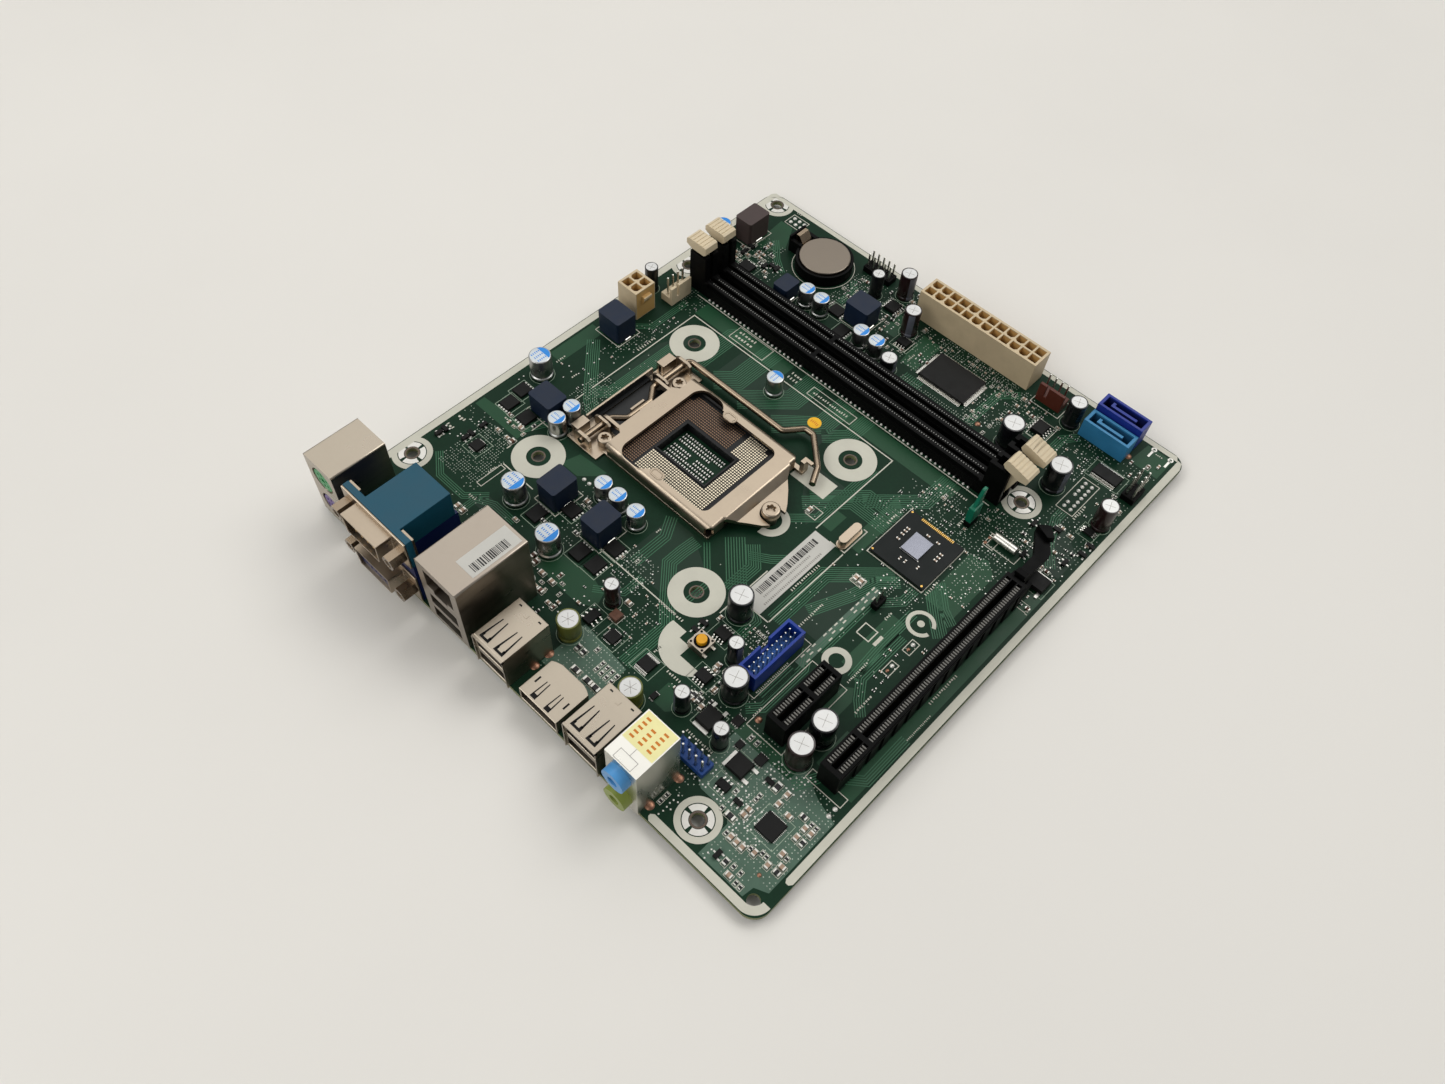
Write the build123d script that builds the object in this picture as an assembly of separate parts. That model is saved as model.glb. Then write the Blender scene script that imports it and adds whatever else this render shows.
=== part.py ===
from build123d import *

# A micro-ATX desktop motherboard: the printed board, its processor socket with a lever and load plate,
# memory and expansion slots, power, storage and panel headers, the rear port bank and the larger parts.
#
# Board coordinates, used throughout: u runs along the rear edge from the board's left corner, v runs from
# the rear edge to the front edge, z rises from the component face. save() moves every node into the row
# frame, whose origin is the standoff hole beside the audio jacks, on the board's underside.

import os
from math import cos, radians, sin

# ---- Board -----------------------------------------------------------------------------------------
BOARD_U = 195.0
BOARD_V = 221.0
BOARD_T = 1.6
CORNER_R = 5.5
DATUM_U = 163.83
DATUM_V = 10.16
STANDOFF_R = 1.98
STANDOFFS = [(DATUM_U, DATUM_V), (6.35, 33.02), (6.35, 165.1), (DATUM_U, 165.1), (6.35, 215.9)]
TOOLING_HOLE = (190.0, 4.65)
TOOLING_R = 2.0
UNDERSIDE = -BOARD_T
TAIL_LENGTH = 2.2

# ---- Processor socket and its load mechanism -------------------------------------------------------
SOCKET_U = 74.3
SOCKET_V = 99.8
COOLER_SPAN = 75.0
COOLER_R = 2.0
BODY_U = (52.5, 97.5)
BODY_V = (79.9, 119.7)
BODY_FLOOR = 3.2
BODY_TOP = 4.6
POCKET = 38.0
CAVITY_U = (63.8, 86.0)
CAVITY_V = (91.8, 106.6)
CAVITY_RIM = 3.8
CONTACT_PITCH = 0.9144
CONTACT_ROWS = 40
CONTACT_TOP = 3.55
SHAFT_U = 43.5
SHAFT_Z = 3.2
WIRE_R = 1.15
SHAFT_GAP = 0.08
FRAME_T = 0.8
RAIL_T = 1.2
PLATE_T = 1.2
PLATE_TOP = 6.4
ROLL_R = 2.2
PLATE_U = (50.0, 101.4)
PLATE_V = (78.4, 121.9)
NOSE_TOP = 3.8
NOSE_U = 112.4
HINGE_SCREWS = [(48.6, 82.0), (48.6, 117.6)]
SHOULDER_SCREW = (109.3, 99.0)
SCREW_R = 1.5
SCREW_HOLE_R = 1.9
BACKPLATE_T = 2.0
INSULATOR_T = 0.2

# ---- Memory slots ----------------------------------------------------------------------------------
DIMM_V = {"a": 160.9, "b": 170.7}
DIMM_MID = 86.5
DIMM_END = 14.2
DIMM_W = 7.0
DIMM_H = 6.5
DIMM_GAP = 0.75
DIMM_KEY_U = 74.3
TOWER_IN = 22.0
TOWER_H = 17.5
LATCH_PIVOT = (17.2, 3.5)
LATCH_PIN_R = 1.0
LATCH_OPEN = 15.0

# ---- Expansion slots -------------------------------------------------------------------------------
PCIE_W = 7.2
PCIE_H = 11.25
PCIE_REAR = 42.5
PCIE_KEY_V = 56.5
PCIE_GAP = 0.9
PCIE_LENGTH = {"x16": 89.0, "x1": 25.0}
PCIE_U = {"x16": 182.6, "x1": 162.28}
PCIE_LATCH_PIVOT = (134.6, 3.2)

# ---- Power headers ---------------------------------------------------------------------------------
CIRCUIT = 4.2
CELL = 3.4
POWER_H = 12.8
POWER_D = 9.6
MAIN_POWER = (84.2, 207.4, 12)
CPU_POWER = (4.2, 130.0, 2)
PIN_W = 0.64


# ---- Shapes ----------------------------------------------------------------------------------------
def block(u, v, z):
    """A box between two limits on each axis."""
    middle = Pos(sum(u) / 2, sum(v) / 2, sum(z) / 2)
    return middle * Box(u[1] - u[0], v[1] - v[0], z[1] - z[0])


def grown(limits, margin):
    """A pair of limits moved apart by a margin at each end."""
    return (limits[0] - margin, limits[1] + margin)


def centred(u, v, z, size):
    """A box centred on u and v that stands on z."""
    return Pos(u, v, z + size[2] / 2) * Box(*size)


def post(u, v, z, radius):
    """An upright cylinder between two heights."""
    return Pos(u, v, sum(z) / 2) * Cylinder(radius, z[1] - z[0])


def rod_u(u, v, z, radius):
    """A cylinder that lies along u."""
    return Pos(sum(u) / 2, v, z) * Rot(0, 90, 0) * Cylinder(radius, u[1] - u[0])


def rod_v(u, v, z, radius):
    """A cylinder that lies along v."""
    return Pos(u, sum(v) / 2, z) * Rot(90, 0, 0) * Cylinder(radius, v[1] - v[0])


def plate(points, z):
    """A plate with an outline of (u, v) points."""
    outline = make_face(Polyline(*points, close=True))
    return Pos(0, 0, z[0]) * extrude(outline, z[1] - z[0])


def along_v(points, v):
    """A bar along v with a section of (u, z) points."""
    section = Plane(origin=(0, v[1], 0), x_dir=(1, 0, 0), z_dir=(0, -1, 0))
    return extrude(section * make_face(Polyline(*points, close=True)), v[1] - v[0])


def along_u(points, u):
    """A bar along u with a section of (v, z) points."""
    section = Plane(origin=(u[0], 0, 0), x_dir=(0, 1, 0), z_dir=(1, 0, 0))
    return extrude(section * make_face(Polyline(*points, close=True)), u[1] - u[0])


def hex_rod_v(u, v, z, across):
    """A hexagonal bar along v, with a flat face upwards."""
    points = [(u + across / 3**0.5 * cos(radians(60 * i)), z + across / 3**0.5 * sin(radians(60 * i)))
              for i in range(6)]
    return along_v(points, v)


def upright_edges(shape):
    """The edges that run along z, for rounding."""
    return shape.edges().filter_by(Axis.Z)


def save(name, *pieces):
    """Writes one node, with its pieces moved from board coordinates into the row frame."""
    to_row = Pos(-DATUM_U, -DATUM_V, BOARD_T)
    solids = [to_row * solid for piece in pieces for solid in piece.solids()]
    export_step(solids[0] if len(solids) == 1 else Compound(children=solids), f"parts/{name}.step")


# ---- Board -----------------------------------------------------------------------------------------
def cooler_holes():
    half = COOLER_SPAN / 2
    return [(SOCKET_U + i * half, SOCKET_V + j * half) for i in (-1, 1) for j in (-1, 1)]


def make_board():
    slab = block((0, BOARD_U), (0, BOARD_V), (UNDERSIDE, 0))
    slab = fillet(upright_edges(slab), CORNER_R)
    drilled = [(place, STANDOFF_R) for place in STANDOFFS]
    drilled += [(place, COOLER_R) for place in cooler_holes()]
    drilled += [(place, SCREW_HOLE_R) for place in HINGE_SCREWS + [SHOULDER_SCREW]]
    drilled += [(TOOLING_HOLE, TOOLING_R)]
    for (u, v), radius in drilled:
        slab -= post(u, v, (UNDERSIDE - 1, 1), radius)
    save("pcb", slab)


def make_backplate():
    """The steel plate and its film under the socket, with three threaded holes and an open middle."""
    outline = [(41, 75), (55, 75), (112, 91.6), (117, 95.6), (117, 104), (112, 108), (55, 124.6), (41, 124.6)]
    window = ((SOCKET_U - 13, SOCKET_U + 13), (SOCKET_V - 11, SOCKET_V + 11))
    film_z = (UNDERSIDE - INSULATOR_T, UNDERSIDE)
    steel_z = (UNDERSIDE - TAIL_LENGTH, UNDERSIDE - INSULATOR_T)
    film = plate(outline, film_z) - block(*window, (film_z[0] - 1, film_z[1] + 1))
    steel = plate(outline, steel_z) - block(*window, (steel_z[0] - 1, steel_z[1] + 1))
    for u, v in HINGE_SCREWS + [SHOULDER_SCREW]:
        film -= post(u, v, (film_z[0] - 1, film_z[1] + 1), SCREW_HOLE_R)
        steel -= post(u, v, (steel_z[0] - 1, steel_z[1] + 1), SCREW_R)
    save("backplate_insulator", film)
    save("ilm_backplate", steel)


# ---- Processor socket ------------------------------------------------------------------------------
def make_socket():
    """The moulded land-grid body, with a walled pocket and an open middle, and its rows of contacts."""
    half = POCKET / 2
    pocket = ((SOCKET_U - half, SOCKET_U + half), (SOCKET_V - half, SOCKET_V + half))
    body = block(BODY_U, BODY_V, (0, BODY_TOP)) - block(*pocket, (BODY_FLOOR, BODY_TOP + 1))
    body += block(grown(CAVITY_U, 0.7), grown(CAVITY_V, 0.7), (0, CAVITY_RIM))
    body -= block(CAVITY_U, CAVITY_V, (-1, BODY_TOP))
    save("socket_body", body)

    reach = CONTACT_PITCH * CONTACT_ROWS / 2
    field = (SOCKET_U - reach, SOCKET_U + reach)
    gap_u = grown(CAVITY_U, 1.2)
    gap_v = grown(CAVITY_V, 1.2)
    rows = []
    for i in range(CONTACT_ROWS):
        v = SOCKET_V + (i - (CONTACT_ROWS - 1) / 2) * CONTACT_PITCH
        spans = [(field[0], gap_u[0]), (gap_u[1], field[1])] if gap_v[0] < v < gap_v[1] else [field]
        rows += [block(span, (v - 0.2, v + 0.2), (BODY_FLOOR, CONTACT_TOP)) for span in spans]
    save("socket_contacts", *rows)


def frame_ear(v):
    """One upright ear of the hinge frame, bored for the lever's shaft."""
    ear = along_v([(39.6, 0), (47.0, 0), (47.0, 4.4), (45.6, 5.4), (41.4, 5.4), (39.6, 4.4)], v)
    return ear - rod_v(SHAFT_U, (v[0] - 1, v[1] + 1), SHAFT_Z, WIRE_R + SHAFT_GAP)


def make_ilm_frame():
    """The stamped frame round the socket: hinge base, ears, clip boxes, rails and the lever's hook."""
    base = block((37, 51.6), (74.8, 126.2), (0, FRAME_T)) - block((38.6, 52), (86.8, 113.0), (-1, 2))
    frame = base + block((51, 100.6), (78.6, 79.6), (0, RAIL_T))
    frame += block((51, 104.5), (120.3, 122.2), (0, RAIL_T))
    frame += block((98.3, 100.6), (78.6, 122.2), (0, RAIL_T))
    for v in ((76.2, 77.4), (85.6, 86.6), (113.2, 114.2), (124.4, 125.6)):
        frame += frame_ear(v)
    frame += block((36.8, 37.5), (84.0, 115.6), (0, 3.8))
    for v in ((77.4, 83.0), (118.0, 124.4)):
        frame += block((36.8, 37.8), v, (0, 4.6)) + block((36.8, 40.2), v, (3.6, 4.6))
        frame += block((39.0, 40.2), v, (0, 4.6))
    frame += block((102.6, 104.3), (121.0, 123.6), (0, 5.6)) + block((104.0, 106.4), (122.3, 123.6), (4.7, 5.6))
    for u, v in HINGE_SCREWS:
        frame -= post(u, v, (-1, 2), SCREW_HOLE_R)
    save("ilm_frame", frame)


def torx_recess(u, v, z, radius):
    """A six-lobed driver recess."""
    recess = post(u, v, z, radius * 0.72)
    for i in range(6):
        recess += post(u + radius * 0.68 * cos(radians(60 * i)), v + radius * 0.68 * sin(radians(60 * i)), z,
                       radius * 0.3)
    return recess


def make_ilm_screws():
    """Two hinge screws and the taller shoulder screw, threaded into the backplate."""
    screws = []
    foot = UNDERSIDE - TAIL_LENGTH
    for u, v in HINGE_SCREWS:
        head = post(u, v, (FRAME_T, FRAME_T + 3.0), 2.6)
        head = fillet(head.edges().sort_by(Axis.Z)[-1], 0.5)
        head -= torx_recess(u, v, (FRAME_T + 1.5, FRAME_T + 4), 1.5)
        screws.append(head + post(u, v, (foot, FRAME_T), SCREW_R))
    u, v = SHOULDER_SCREW
    head = post(u, v, (4.1, 6.5), 3.25)
    head = fillet(head.edges().sort_by(Axis.Z)[-1], 0.7)
    head -= torx_recess(u, v, (5.1, 7), 1.8)
    screws.append(head + post(u, v, (0, 4.1), 2.4) + post(u, v, (foot, 0), SCREW_R))
    save("ilm_screws", *screws)


def plate_window():
    """The load plate's opening: a rounded rectangle with a wider rear end and two holding tabs."""
    wide = Pos(76.2, 99.8) * RectangleRounded(38.6, 35.6, 3.0)
    rear = Pos(63.6, 99.8) * RectangleRounded(13.4, 41.0, 5.0)
    opening = wide + rear
    for v in (81.6, 118.0):
        opening -= Pos(73.0, v) * Circle(2.6)
    return Pos(0, 0, PLATE_TOP - 4) * extrude(opening, 6)


def make_load_plate():
    """The stamped load plate: stepped nose, side flanges, two hinge arms and the tongue under the crank."""
    under = PLATE_TOP - PLATE_T
    nose_under = NOSE_TOP - PLATE_T
    ramp = PLATE_TOP - NOSE_TOP
    section = [(PLATE_U[0], PLATE_TOP), (PLATE_U[1], PLATE_TOP), (PLATE_U[1] + ramp, NOSE_TOP),
               (NOSE_U, NOSE_TOP), (NOSE_U, nose_under), (PLATE_U[1] + ramp - 0.5, nose_under),
               (PLATE_U[1] - 0.5, under), (PLATE_U[0], under)]
    low, high = PLATE_V
    outline = [(52.4, low), (99.4, low), (101.4, low + 2), (101.4, 85.4), (103.5, 88.4), (107.0, 91.0),
               (110.6, 93.4), (NOSE_U, 95.4), (NOSE_U, 103.0), (110.6, 105.8), (107.0, 110.2), (103.5, 113.8),
               (101.4, 117.6), (101.4, high - 2), (99.4, high), (52.4, high), (52.4, 114.0), (50.0, 112.4),
               (50.0, 87.2), (52.4, 85.6)]
    shell = along_v(section, PLATE_V) & plate(outline, (0, 10))
    shell -= plate_window()
    u, v = SHOULDER_SCREW
    shell -= post(u, v, (0, 10), 3.6) + block((u, u + 6), (v - 3.6, v + 3.6), (0, 10))
    shell += block((53.5, 99.0), (low, low + 1.0), (1.7, under))
    shell += block((53.5, 99.0), (high - 1.0, high), (1.7, under))
    rolled = [edge for edge in shell.edges().filter_by(Axis.X) if abs(edge.center().Z - PLATE_TOP) < 0.01
              and min(abs(edge.center().Y - low), abs(edge.center().Y - high)) < 0.01]
    shell = fillet(rolled, ROLL_R)
    for v in ((low + 2.2, 85.4), (117.6, high - 2.2)):
        skirt = block((PLATE_U[1] - 1.1, PLATE_U[1]), v, (2.0, PLATE_TOP - 0.6))
        shell += skirt
    front = [edge for edge in shell.edges().filter_by(Axis.Y) if abs(edge.center().Z - PLATE_TOP) < 0.01
             and abs(edge.center().X - PLATE_U[1]) < 0.01]
    shell = fillet(front, 1.1)
    for v in ((87.2, 88.4), (111.2, 112.4)):
        arm = along_v([(SHAFT_U, SHAFT_Z - 1.4), (50.4, under - 1.0), (52.2, under), (SHAFT_U, SHAFT_Z + 2.2)], v)
        arm += rod_v(SHAFT_U, v, SHAFT_Z, 2.2)
        shell += arm - rod_v(SHAFT_U, (v[0] - 1, v[1] + 1), SHAFT_Z, WIRE_R + SHAFT_GAP)
    tongue_v = (97.3, 103.5)
    shell += block((49.7, 50.7), tongue_v, (0.9, PLATE_TOP)) + block((44.9, 50.2), tongue_v, (0.9, 1.7))
    shell += block((44.9, 45.7), tongue_v, (0.9, 3.0))
    save("load_plate", shell)


def make_load_lever():
    """The bent-wire lever: shaft, crank over the tongue, arm, side kink and the end past the hook."""
    crank_u = SHAFT_U + 4.1
    arm_v = 127.9
    route = [(SHAFT_U, 75.2), (SHAFT_U, 89.6), (crank_u, 93.7), (crank_u, 104.6), (SHAFT_U, 109.6),
             (SHAFT_U, arm_v), (88.5, arm_v), (93.4, 134.2), (97.2, 134.2), (107.4, 124.6), (110.8, 118.0)]
    path = FilletPolyline(*[(u, v, SHAFT_Z) for u, v in route], radius=2.0)
    section = Plane(origin=path @ 0, z_dir=path % 0) * Circle(WIRE_R)
    save("load_lever", sweep(section, path=path))


# ---- Memory slots ----------------------------------------------------------------------------------
def dimm_tower(v):
    """The left end tower: a latch bay open to the outside, a module guide and the pivot's two holes."""
    half = DIMM_W / 2
    u, z = LATCH_PIVOT
    tower = block((DIMM_END, TOWER_IN), (v - half + 0.1, v + half - 0.1), (0, TOWER_H))
    tower -= block((DIMM_END - 1, 20.4), (v - 1.9, v + 1.9), (0.8, TOWER_H + 1))
    tower -= block((19.6, TOWER_IN + 1), (v - DIMM_GAP, v + DIMM_GAP), (1.5, TOWER_H + 1))
    tower -= block((20, 22.4), (v - 1.9, v + 1.9), (0.8, 5.4))
    return tower - rod_v(u, (v - 2.9, v + 2.9), z, LATCH_PIN_R + 0.05)


def dimm_latch(v):
    """The left ejector latch, upright: stem, ribbed thumb head, module hook, kicker foot and pivot."""
    u, z = LATCH_PIVOT
    stem = along_v([(15.2, 1.9), (19.2, 1.9), (21.2, 1.6), (21.6, 2.7), (19.4, 4.6), (19.4, 18.4), (14.8, 18.4)],
                   (v - 1.6, v + 1.6))
    head = along_v([(11.9, 19.4), (14.6, 18.2), (20.6, 18.2), (21.7, 19.2), (21.4, 21.8), (20.6, 22.2),
                    (12.8, 22.2), (11.9, 21.4)], (v - 3.1, v + 3.1))
    for i in range(5):
        groove_u = 13.3 + i * 1.6
        head -= block((groove_u, groove_u + 0.45), (v - 4, v + 4), (22.0, 23))
    return stem + head + rod_v(u, (v - 2.85, v + 2.85), z, LATCH_PIN_R)


def make_dimm(letter):
    """One 240-way slot: a low body with a keyed card gap and a latch tower at each end."""
    v = DIMM_V[letter]
    half = DIMM_W / 2
    span = (TOWER_IN - 1, 2 * DIMM_MID - TOWER_IN + 1)
    across = Plane.YZ.offset(DIMM_MID)
    tower = dimm_tower(v)
    body = block(span, (v - half, v + half), (0, DIMM_H))
    body -= block(span, (v - DIMM_GAP, v + DIMM_GAP), (1.5, DIMM_H + 1))
    body -= block((24.4, 148.6), (v - 1.15, v + 1.15), (1.5, DIMM_H - 0.7))
    for side in (-1, 1):
        body -= block((23.4, 149.6), sorted((v + side * 2.9, v + side * 4)), (4.6, DIMM_H + 1))
    foot_pocket = block((20, 22.4), (v - 1.9, v + 1.9), (0.8, 5.4))
    body -= foot_pocket + mirror(foot_pocket, about=across)
    body += block((DIMM_KEY_U - 0.7, DIMM_KEY_U + 0.7), (v - 1.2, v + 1.2), (1.2, DIMM_H))
    housing = body + tower + mirror(tower, about=across)
    save(f"dimm_slot_{letter}", housing)

    pivot_u, pivot_z = LATCH_PIVOT
    latch = dimm_latch(v)
    save(f"dimm_latch_{letter}_left", latch)
    turn = Pos(2 * DIMM_MID - pivot_u, v, pivot_z)
    open_latch = turn * Rot(0, LATCH_OPEN, 0) * turn.inverse() * mirror(latch, about=across)
    save(f"dimm_latch_{letter}_right", open_latch)


def dimm_contacts():
    """Contact strips in both memory slots, one on each side of the card gap and split at the key."""
    strips = []
    for v in DIMM_V.values():
        for side in (-1, 1):
            across = sorted((v + side * DIMM_GAP, v + side * 1.15))
            for u in ((24.6, DIMM_KEY_U - 0.9), (DIMM_KEY_U + 0.9, 148.4)):
                strips.append(block(u, across, (1.6, DIMM_H - 0.8)))
    return strips


# ---- Expansion slots -------------------------------------------------------------------------------
def pcie_body(name):
    """A slot housing with its keyed card gap and ribbed outer walls."""
    u = PCIE_U[name]
    front = PCIE_REAR + PCIE_LENGTH[name]
    half = PCIE_W / 2
    body = block((u - half, u + half), (PCIE_REAR, front), (0, PCIE_H))
    body -= block((u - PCIE_GAP, u + PCIE_GAP), (PCIE_REAR + 1.5, front - 1.5), (1.5, PCIE_H + 1))
    body -= block((u - 1.35, u + 1.35), (PCIE_REAR + 2.0, front - 2.0), (1.5, PCIE_H - 0.8))
    for side in (-1, 1):
        window = sorted((u + side * 1.35, u + side * 2.85))
        body -= block(window, (PCIE_REAR + 1.6, front - 1.6), (PCIE_H - 2.2, PCIE_H + 1))
    body += block((u - 2.9, u + 2.9), (PCIE_KEY_V - 0.8, PCIE_KEY_V + 0.8), (PCIE_H - 2.4, PCIE_H))
    body += block((u - 1.4, u + 1.4), (PCIE_KEY_V - 0.8, PCIE_KEY_V + 0.8), (1.4, PCIE_H))
    return body


def make_pcie():
    """Both slots, the contact strips inside them and the long slot's card latch."""
    u = PCIE_U["x16"]
    front = PCIE_REAR + PCIE_LENGTH["x16"]
    pivot_v, pivot_z = PCIE_LATCH_PIVOT
    long_slot = pcie_body("x16")
    for side in (-1, 1):
        outer = sorted((u + side * 2.2, u + side * 3.5))
        cheek = block(outer, (front, front + 5.5), (0, 6.0))
        long_slot += cheek - rod_u((u - 3.0, u + 3.0), pivot_v, pivot_z, 1.05)
    save("pcie_x16_slot", long_slot)
    save("pcie_x1_slot", pcie_body("x1"))

    strips = dimm_contacts()
    for name in PCIE_U:
        for side in (-1, 1):
            centre = PCIE_U[name]
            across = sorted((centre + side * PCIE_GAP, centre + side * 1.35))
            far = PCIE_REAR + PCIE_LENGTH[name] - 2.2
            for v in ((PCIE_REAR + 2.2, PCIE_KEY_V - 1.0), (PCIE_KEY_V + 1.0, far)):
                strips.append(block(across, v, (1.6, PCIE_H - 1.0)))
    save("slot_contacts", *strips)

    latch = along_u([(133.4, 2.2), (136.0, 1.8), (137.4, 5.8), (146.0, 7.0), (146.0, 9.4), (136.6, 9.6),
                     (134.4, 12.6), (132.2, 12.9), (132.0, 11.6), (133.6, 9.6)], (u - 1.9, u + 1.9))
    latch += plate([(u - 1.9, 144.0), (u + 1.9, 144.0), (u + 1.9, 147.5), (u - 3.9, 155.6), (u - 7.3, 152.8)],
                   (7.0, 9.4))
    latch += plate([(u - 2.1, 150.8), (u - 0.4, 152.2), (u - 3.9, 155.6), (u - 7.3, 152.8)], (9.0, 11.4))
    latch += rod_u((u - 2.95, u + 2.95), pivot_v, pivot_z, 1.0)
    save("pcie_x16_latch", latch)


# ---- Power and small headers -----------------------------------------------------------------------
def power_cells(corner_u, corner_v, columns):
    """The centres of a two-row power header's circuits."""
    edge = (POWER_D - 2 * CIRCUIT) / 2 + CIRCUIT / 2
    return [(corner_u + 0.6 + CIRCUIT * (i + 0.5), corner_v + edge + CIRCUIT * j)
            for i in range(columns) for j in range(2)]


def power_header(corner_u, corner_v, columns):
    """A two-row shrouded power header; every third and fourth circuit is keyed by cut corners."""
    length = columns * CIRCUIT + 1.2
    shell = block((corner_u, corner_u + length), (corner_v, corner_v + POWER_D), (0, POWER_H))
    for index, (u, v) in enumerate(power_cells(corner_u, corner_v, columns)):
        half = CELL / 2
        cut = 0.9 if (index // 2 + index % 2) % 4 in (1, 2) else 0.0
        cell = centred(u, v, 2.0, (CELL, CELL, POWER_H))
        if cut:
            cell = chamfer(upright_edges(cell).group_by(Axis.Y)[0], cut)
        shell -= cell
    return shell


def make_power():
    """The 24-way and 4-way headers, with their latch ramps and pins."""
    u, v, columns = MAIN_POWER
    middle = u + (columns * CIRCUIT + 1.2) / 2
    ramp = along_u([(v + POWER_D, 6.0), (v + POWER_D + 1.6, 9.0), (v + POWER_D + 1.6, 10.0), (v + POWER_D, 10.0)],
                   (middle - 2.6, middle + 2.6))
    save("main_power_header", power_header(u, v, columns) + ramp)

    u, v, columns = CPU_POWER
    side = u + columns * CIRCUIT + 1.2
    middle = v + POWER_D / 2
    ramp = along_v([(side, 6.0), (side + 1.6, 9.0), (side + 1.6, 10.0), (side, 10.0)], (middle - 1.9, middle + 1.9))
    save("cpu_power_header", power_header(u, v, columns) + ramp)

    pins = [centred(pin_u, pin_v, 2.0, (1.1, 1.1, 8.6))
            for header in (MAIN_POWER, CPU_POWER) for pin_u, pin_v in power_cells(*header)]
    save("power_header_pins", *pins)


FAN_PITCH = 2.54
CPU_FAN = (14.2, 149.75)
CHASSIS_FAN = (145.1, 210.0)
FRONT_PANEL = (61.2, 214.5)
SIDE_HEADER = (188.6, 194.5)
SPEAKER_HEADER = (155.0, 99.6)
JUMPER_HEADER = (156.4, 146.0)
AUDIO_HEADER = (149.9, 21.85)
USB3_HEADER = (144.55, 60.9)
USB3_SIZE = (6.9, 22.4, 8.0)


def pin_grid(u, v, counts, pitch):
    """The places of a grid of pins centred on u and v."""
    return [(u + (i - (counts[0] - 1) / 2) * pitch, v + (j - (counts[1] - 1) / 2) * pitch)
            for i in range(counts[0]) for j in range(counts[1])]


def grid_base(u, v, counts, height, pitch=FAN_PITCH):
    """A header's moulded base, with a hole for each pin."""
    base = centred(u, v, 0, (counts[0] * pitch, counts[1] * pitch, height))
    for pin_u, pin_v in pin_grid(u, v, counts, pitch):
        base -= centred(pin_u, pin_v, -1, (PIN_W, PIN_W, height + 2))
    return base


def grid_pins(u, v, counts, z, pitch=FAN_PITCH):
    """Square pins on a header's grid."""
    return [centred(pin_u, pin_v, z[0], (PIN_W, PIN_W, z[1] - z[0]))
            for pin_u, pin_v in pin_grid(u, v, counts, pitch)]


def make_headers():
    """Fan, panel, audio, jumper and high-speed panel headers, with all their pins in one node."""
    u, v = CPU_FAN
    wall = block((u + 2.2, u + 3.4), (v - 5.1, v + 5.1), (0, 8.0)) - block((u + 1, u + 4), (v - 2.4, v - 1.2), (3.2, 9))
    base = centred(u + 0.5, v, 0, (5.8, 10.2, 3.2))
    for pin_u, pin_v in pin_grid(u, v, (1, 4), FAN_PITCH):
        base -= centred(pin_u, pin_v, -1, (PIN_W, PIN_W, 6))
    save("cpu_fan_header", base + wall)

    u, v = CHASSIS_FAN
    wall = block((u - 5.1, u + 5.1), (v - 3.3, v - 2.1), (0, 8.0)) - block((u - 2.4, u - 1.2), (v - 4, v - 1), (3.2, 9))
    base = centred(u, v - 0.4, 0, (10.2, 5.8, 3.2))
    for pin_u, pin_v in pin_grid(u, v, (4, 1), FAN_PITCH):
        base -= centred(pin_u, pin_v, -1, (PIN_W, PIN_W, 6))
    save("chassis_fan_header", base + wall)

    save("pin_headers", grid_base(*FRONT_PANEL, (5, 2), 2.5), grid_base(*SIDE_HEADER, (2, 3), 2.5),
         grid_base(*SPEAKER_HEADER, (1, 2), 2.5), grid_base(*JUMPER_HEADER, (1, 2), 2.5))
    save("audio_header", grid_base(*AUDIO_HEADER, (5, 2), 2.5))

    u, v = USB3_HEADER
    size_u, size_v, height = USB3_SIZE
    shroud = centred(u, v, 0, USB3_SIZE) - centred(u, v, 2.2, (size_u - 1.8, size_v - 2.0, height))
    shroud -= block((u - size_u, u - size_u / 2 + 1.2), (v - 2.0, v + 2.0), (3.4, height + 1))
    for pin_u, pin_v in pin_grid(u, v, (2, 10), 2.0):
        shroud -= centred(pin_u, pin_v, -1, (0.5, 0.5, 4))
    save("usb3_header", shroud)

    pins = grid_pins(*CPU_FAN, (1, 4), (0, 11.0)) + grid_pins(*CHASSIS_FAN, (4, 1), (0, 11.0))
    pins += grid_pins(*FRONT_PANEL, (5, 2), (0, 8.5)) + grid_pins(*SIDE_HEADER, (2, 3), (0, 11.5))
    pins += grid_pins(*SPEAKER_HEADER, (1, 2), (0, 8.5)) + grid_pins(*JUMPER_HEADER, (1, 2), (0, 8.0))
    pins += grid_pins(*AUDIO_HEADER, (5, 2), (0, 8.5))
    pins += [centred(pin_u, pin_v, 0, (0.5, 0.5, 7.4)) for pin_u, pin_v in pin_grid(u, v, (2, 10), 2.0)]
    save("header_pins", *pins)

    u, v = JUMPER_HEADER
    cap = centred(u, v, 2.6, (2.4, 5.0, 6.9)) - centred(u, v, 2, (0.9, 3.5, 6.6))
    cap += along_u([(v - 1.6, 9.5), (v + 2.2, 9.5), (v + 2.9, 17.0), (v + 1.2, 17.0)], (u - 0.6, u + 0.6))
    save("jumper_cap", cap)


def sata_port(u, v, height):
    """A vertical storage port: an L-shaped card tongue in a shrouded well. u and v are its low corner."""
    length, depth = 18.0, 6.7
    shell = block((u, u + length), (v, v + depth), (0, height))
    well = block((u + 1.2, u + length - 1.2), (v + 1.0, v + depth - 1.0), (1.6, height + 1))
    tongue = block((u + 3.6, u + 14.0), (v + 2.7, v + 3.9), (1.6, height - 0.6))
    tongue += block((u + 3.6, u + 4.8), (v + 2.7, v + 5.0), (1.6, height - 0.6))
    return shell - (well - tongue)


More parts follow.
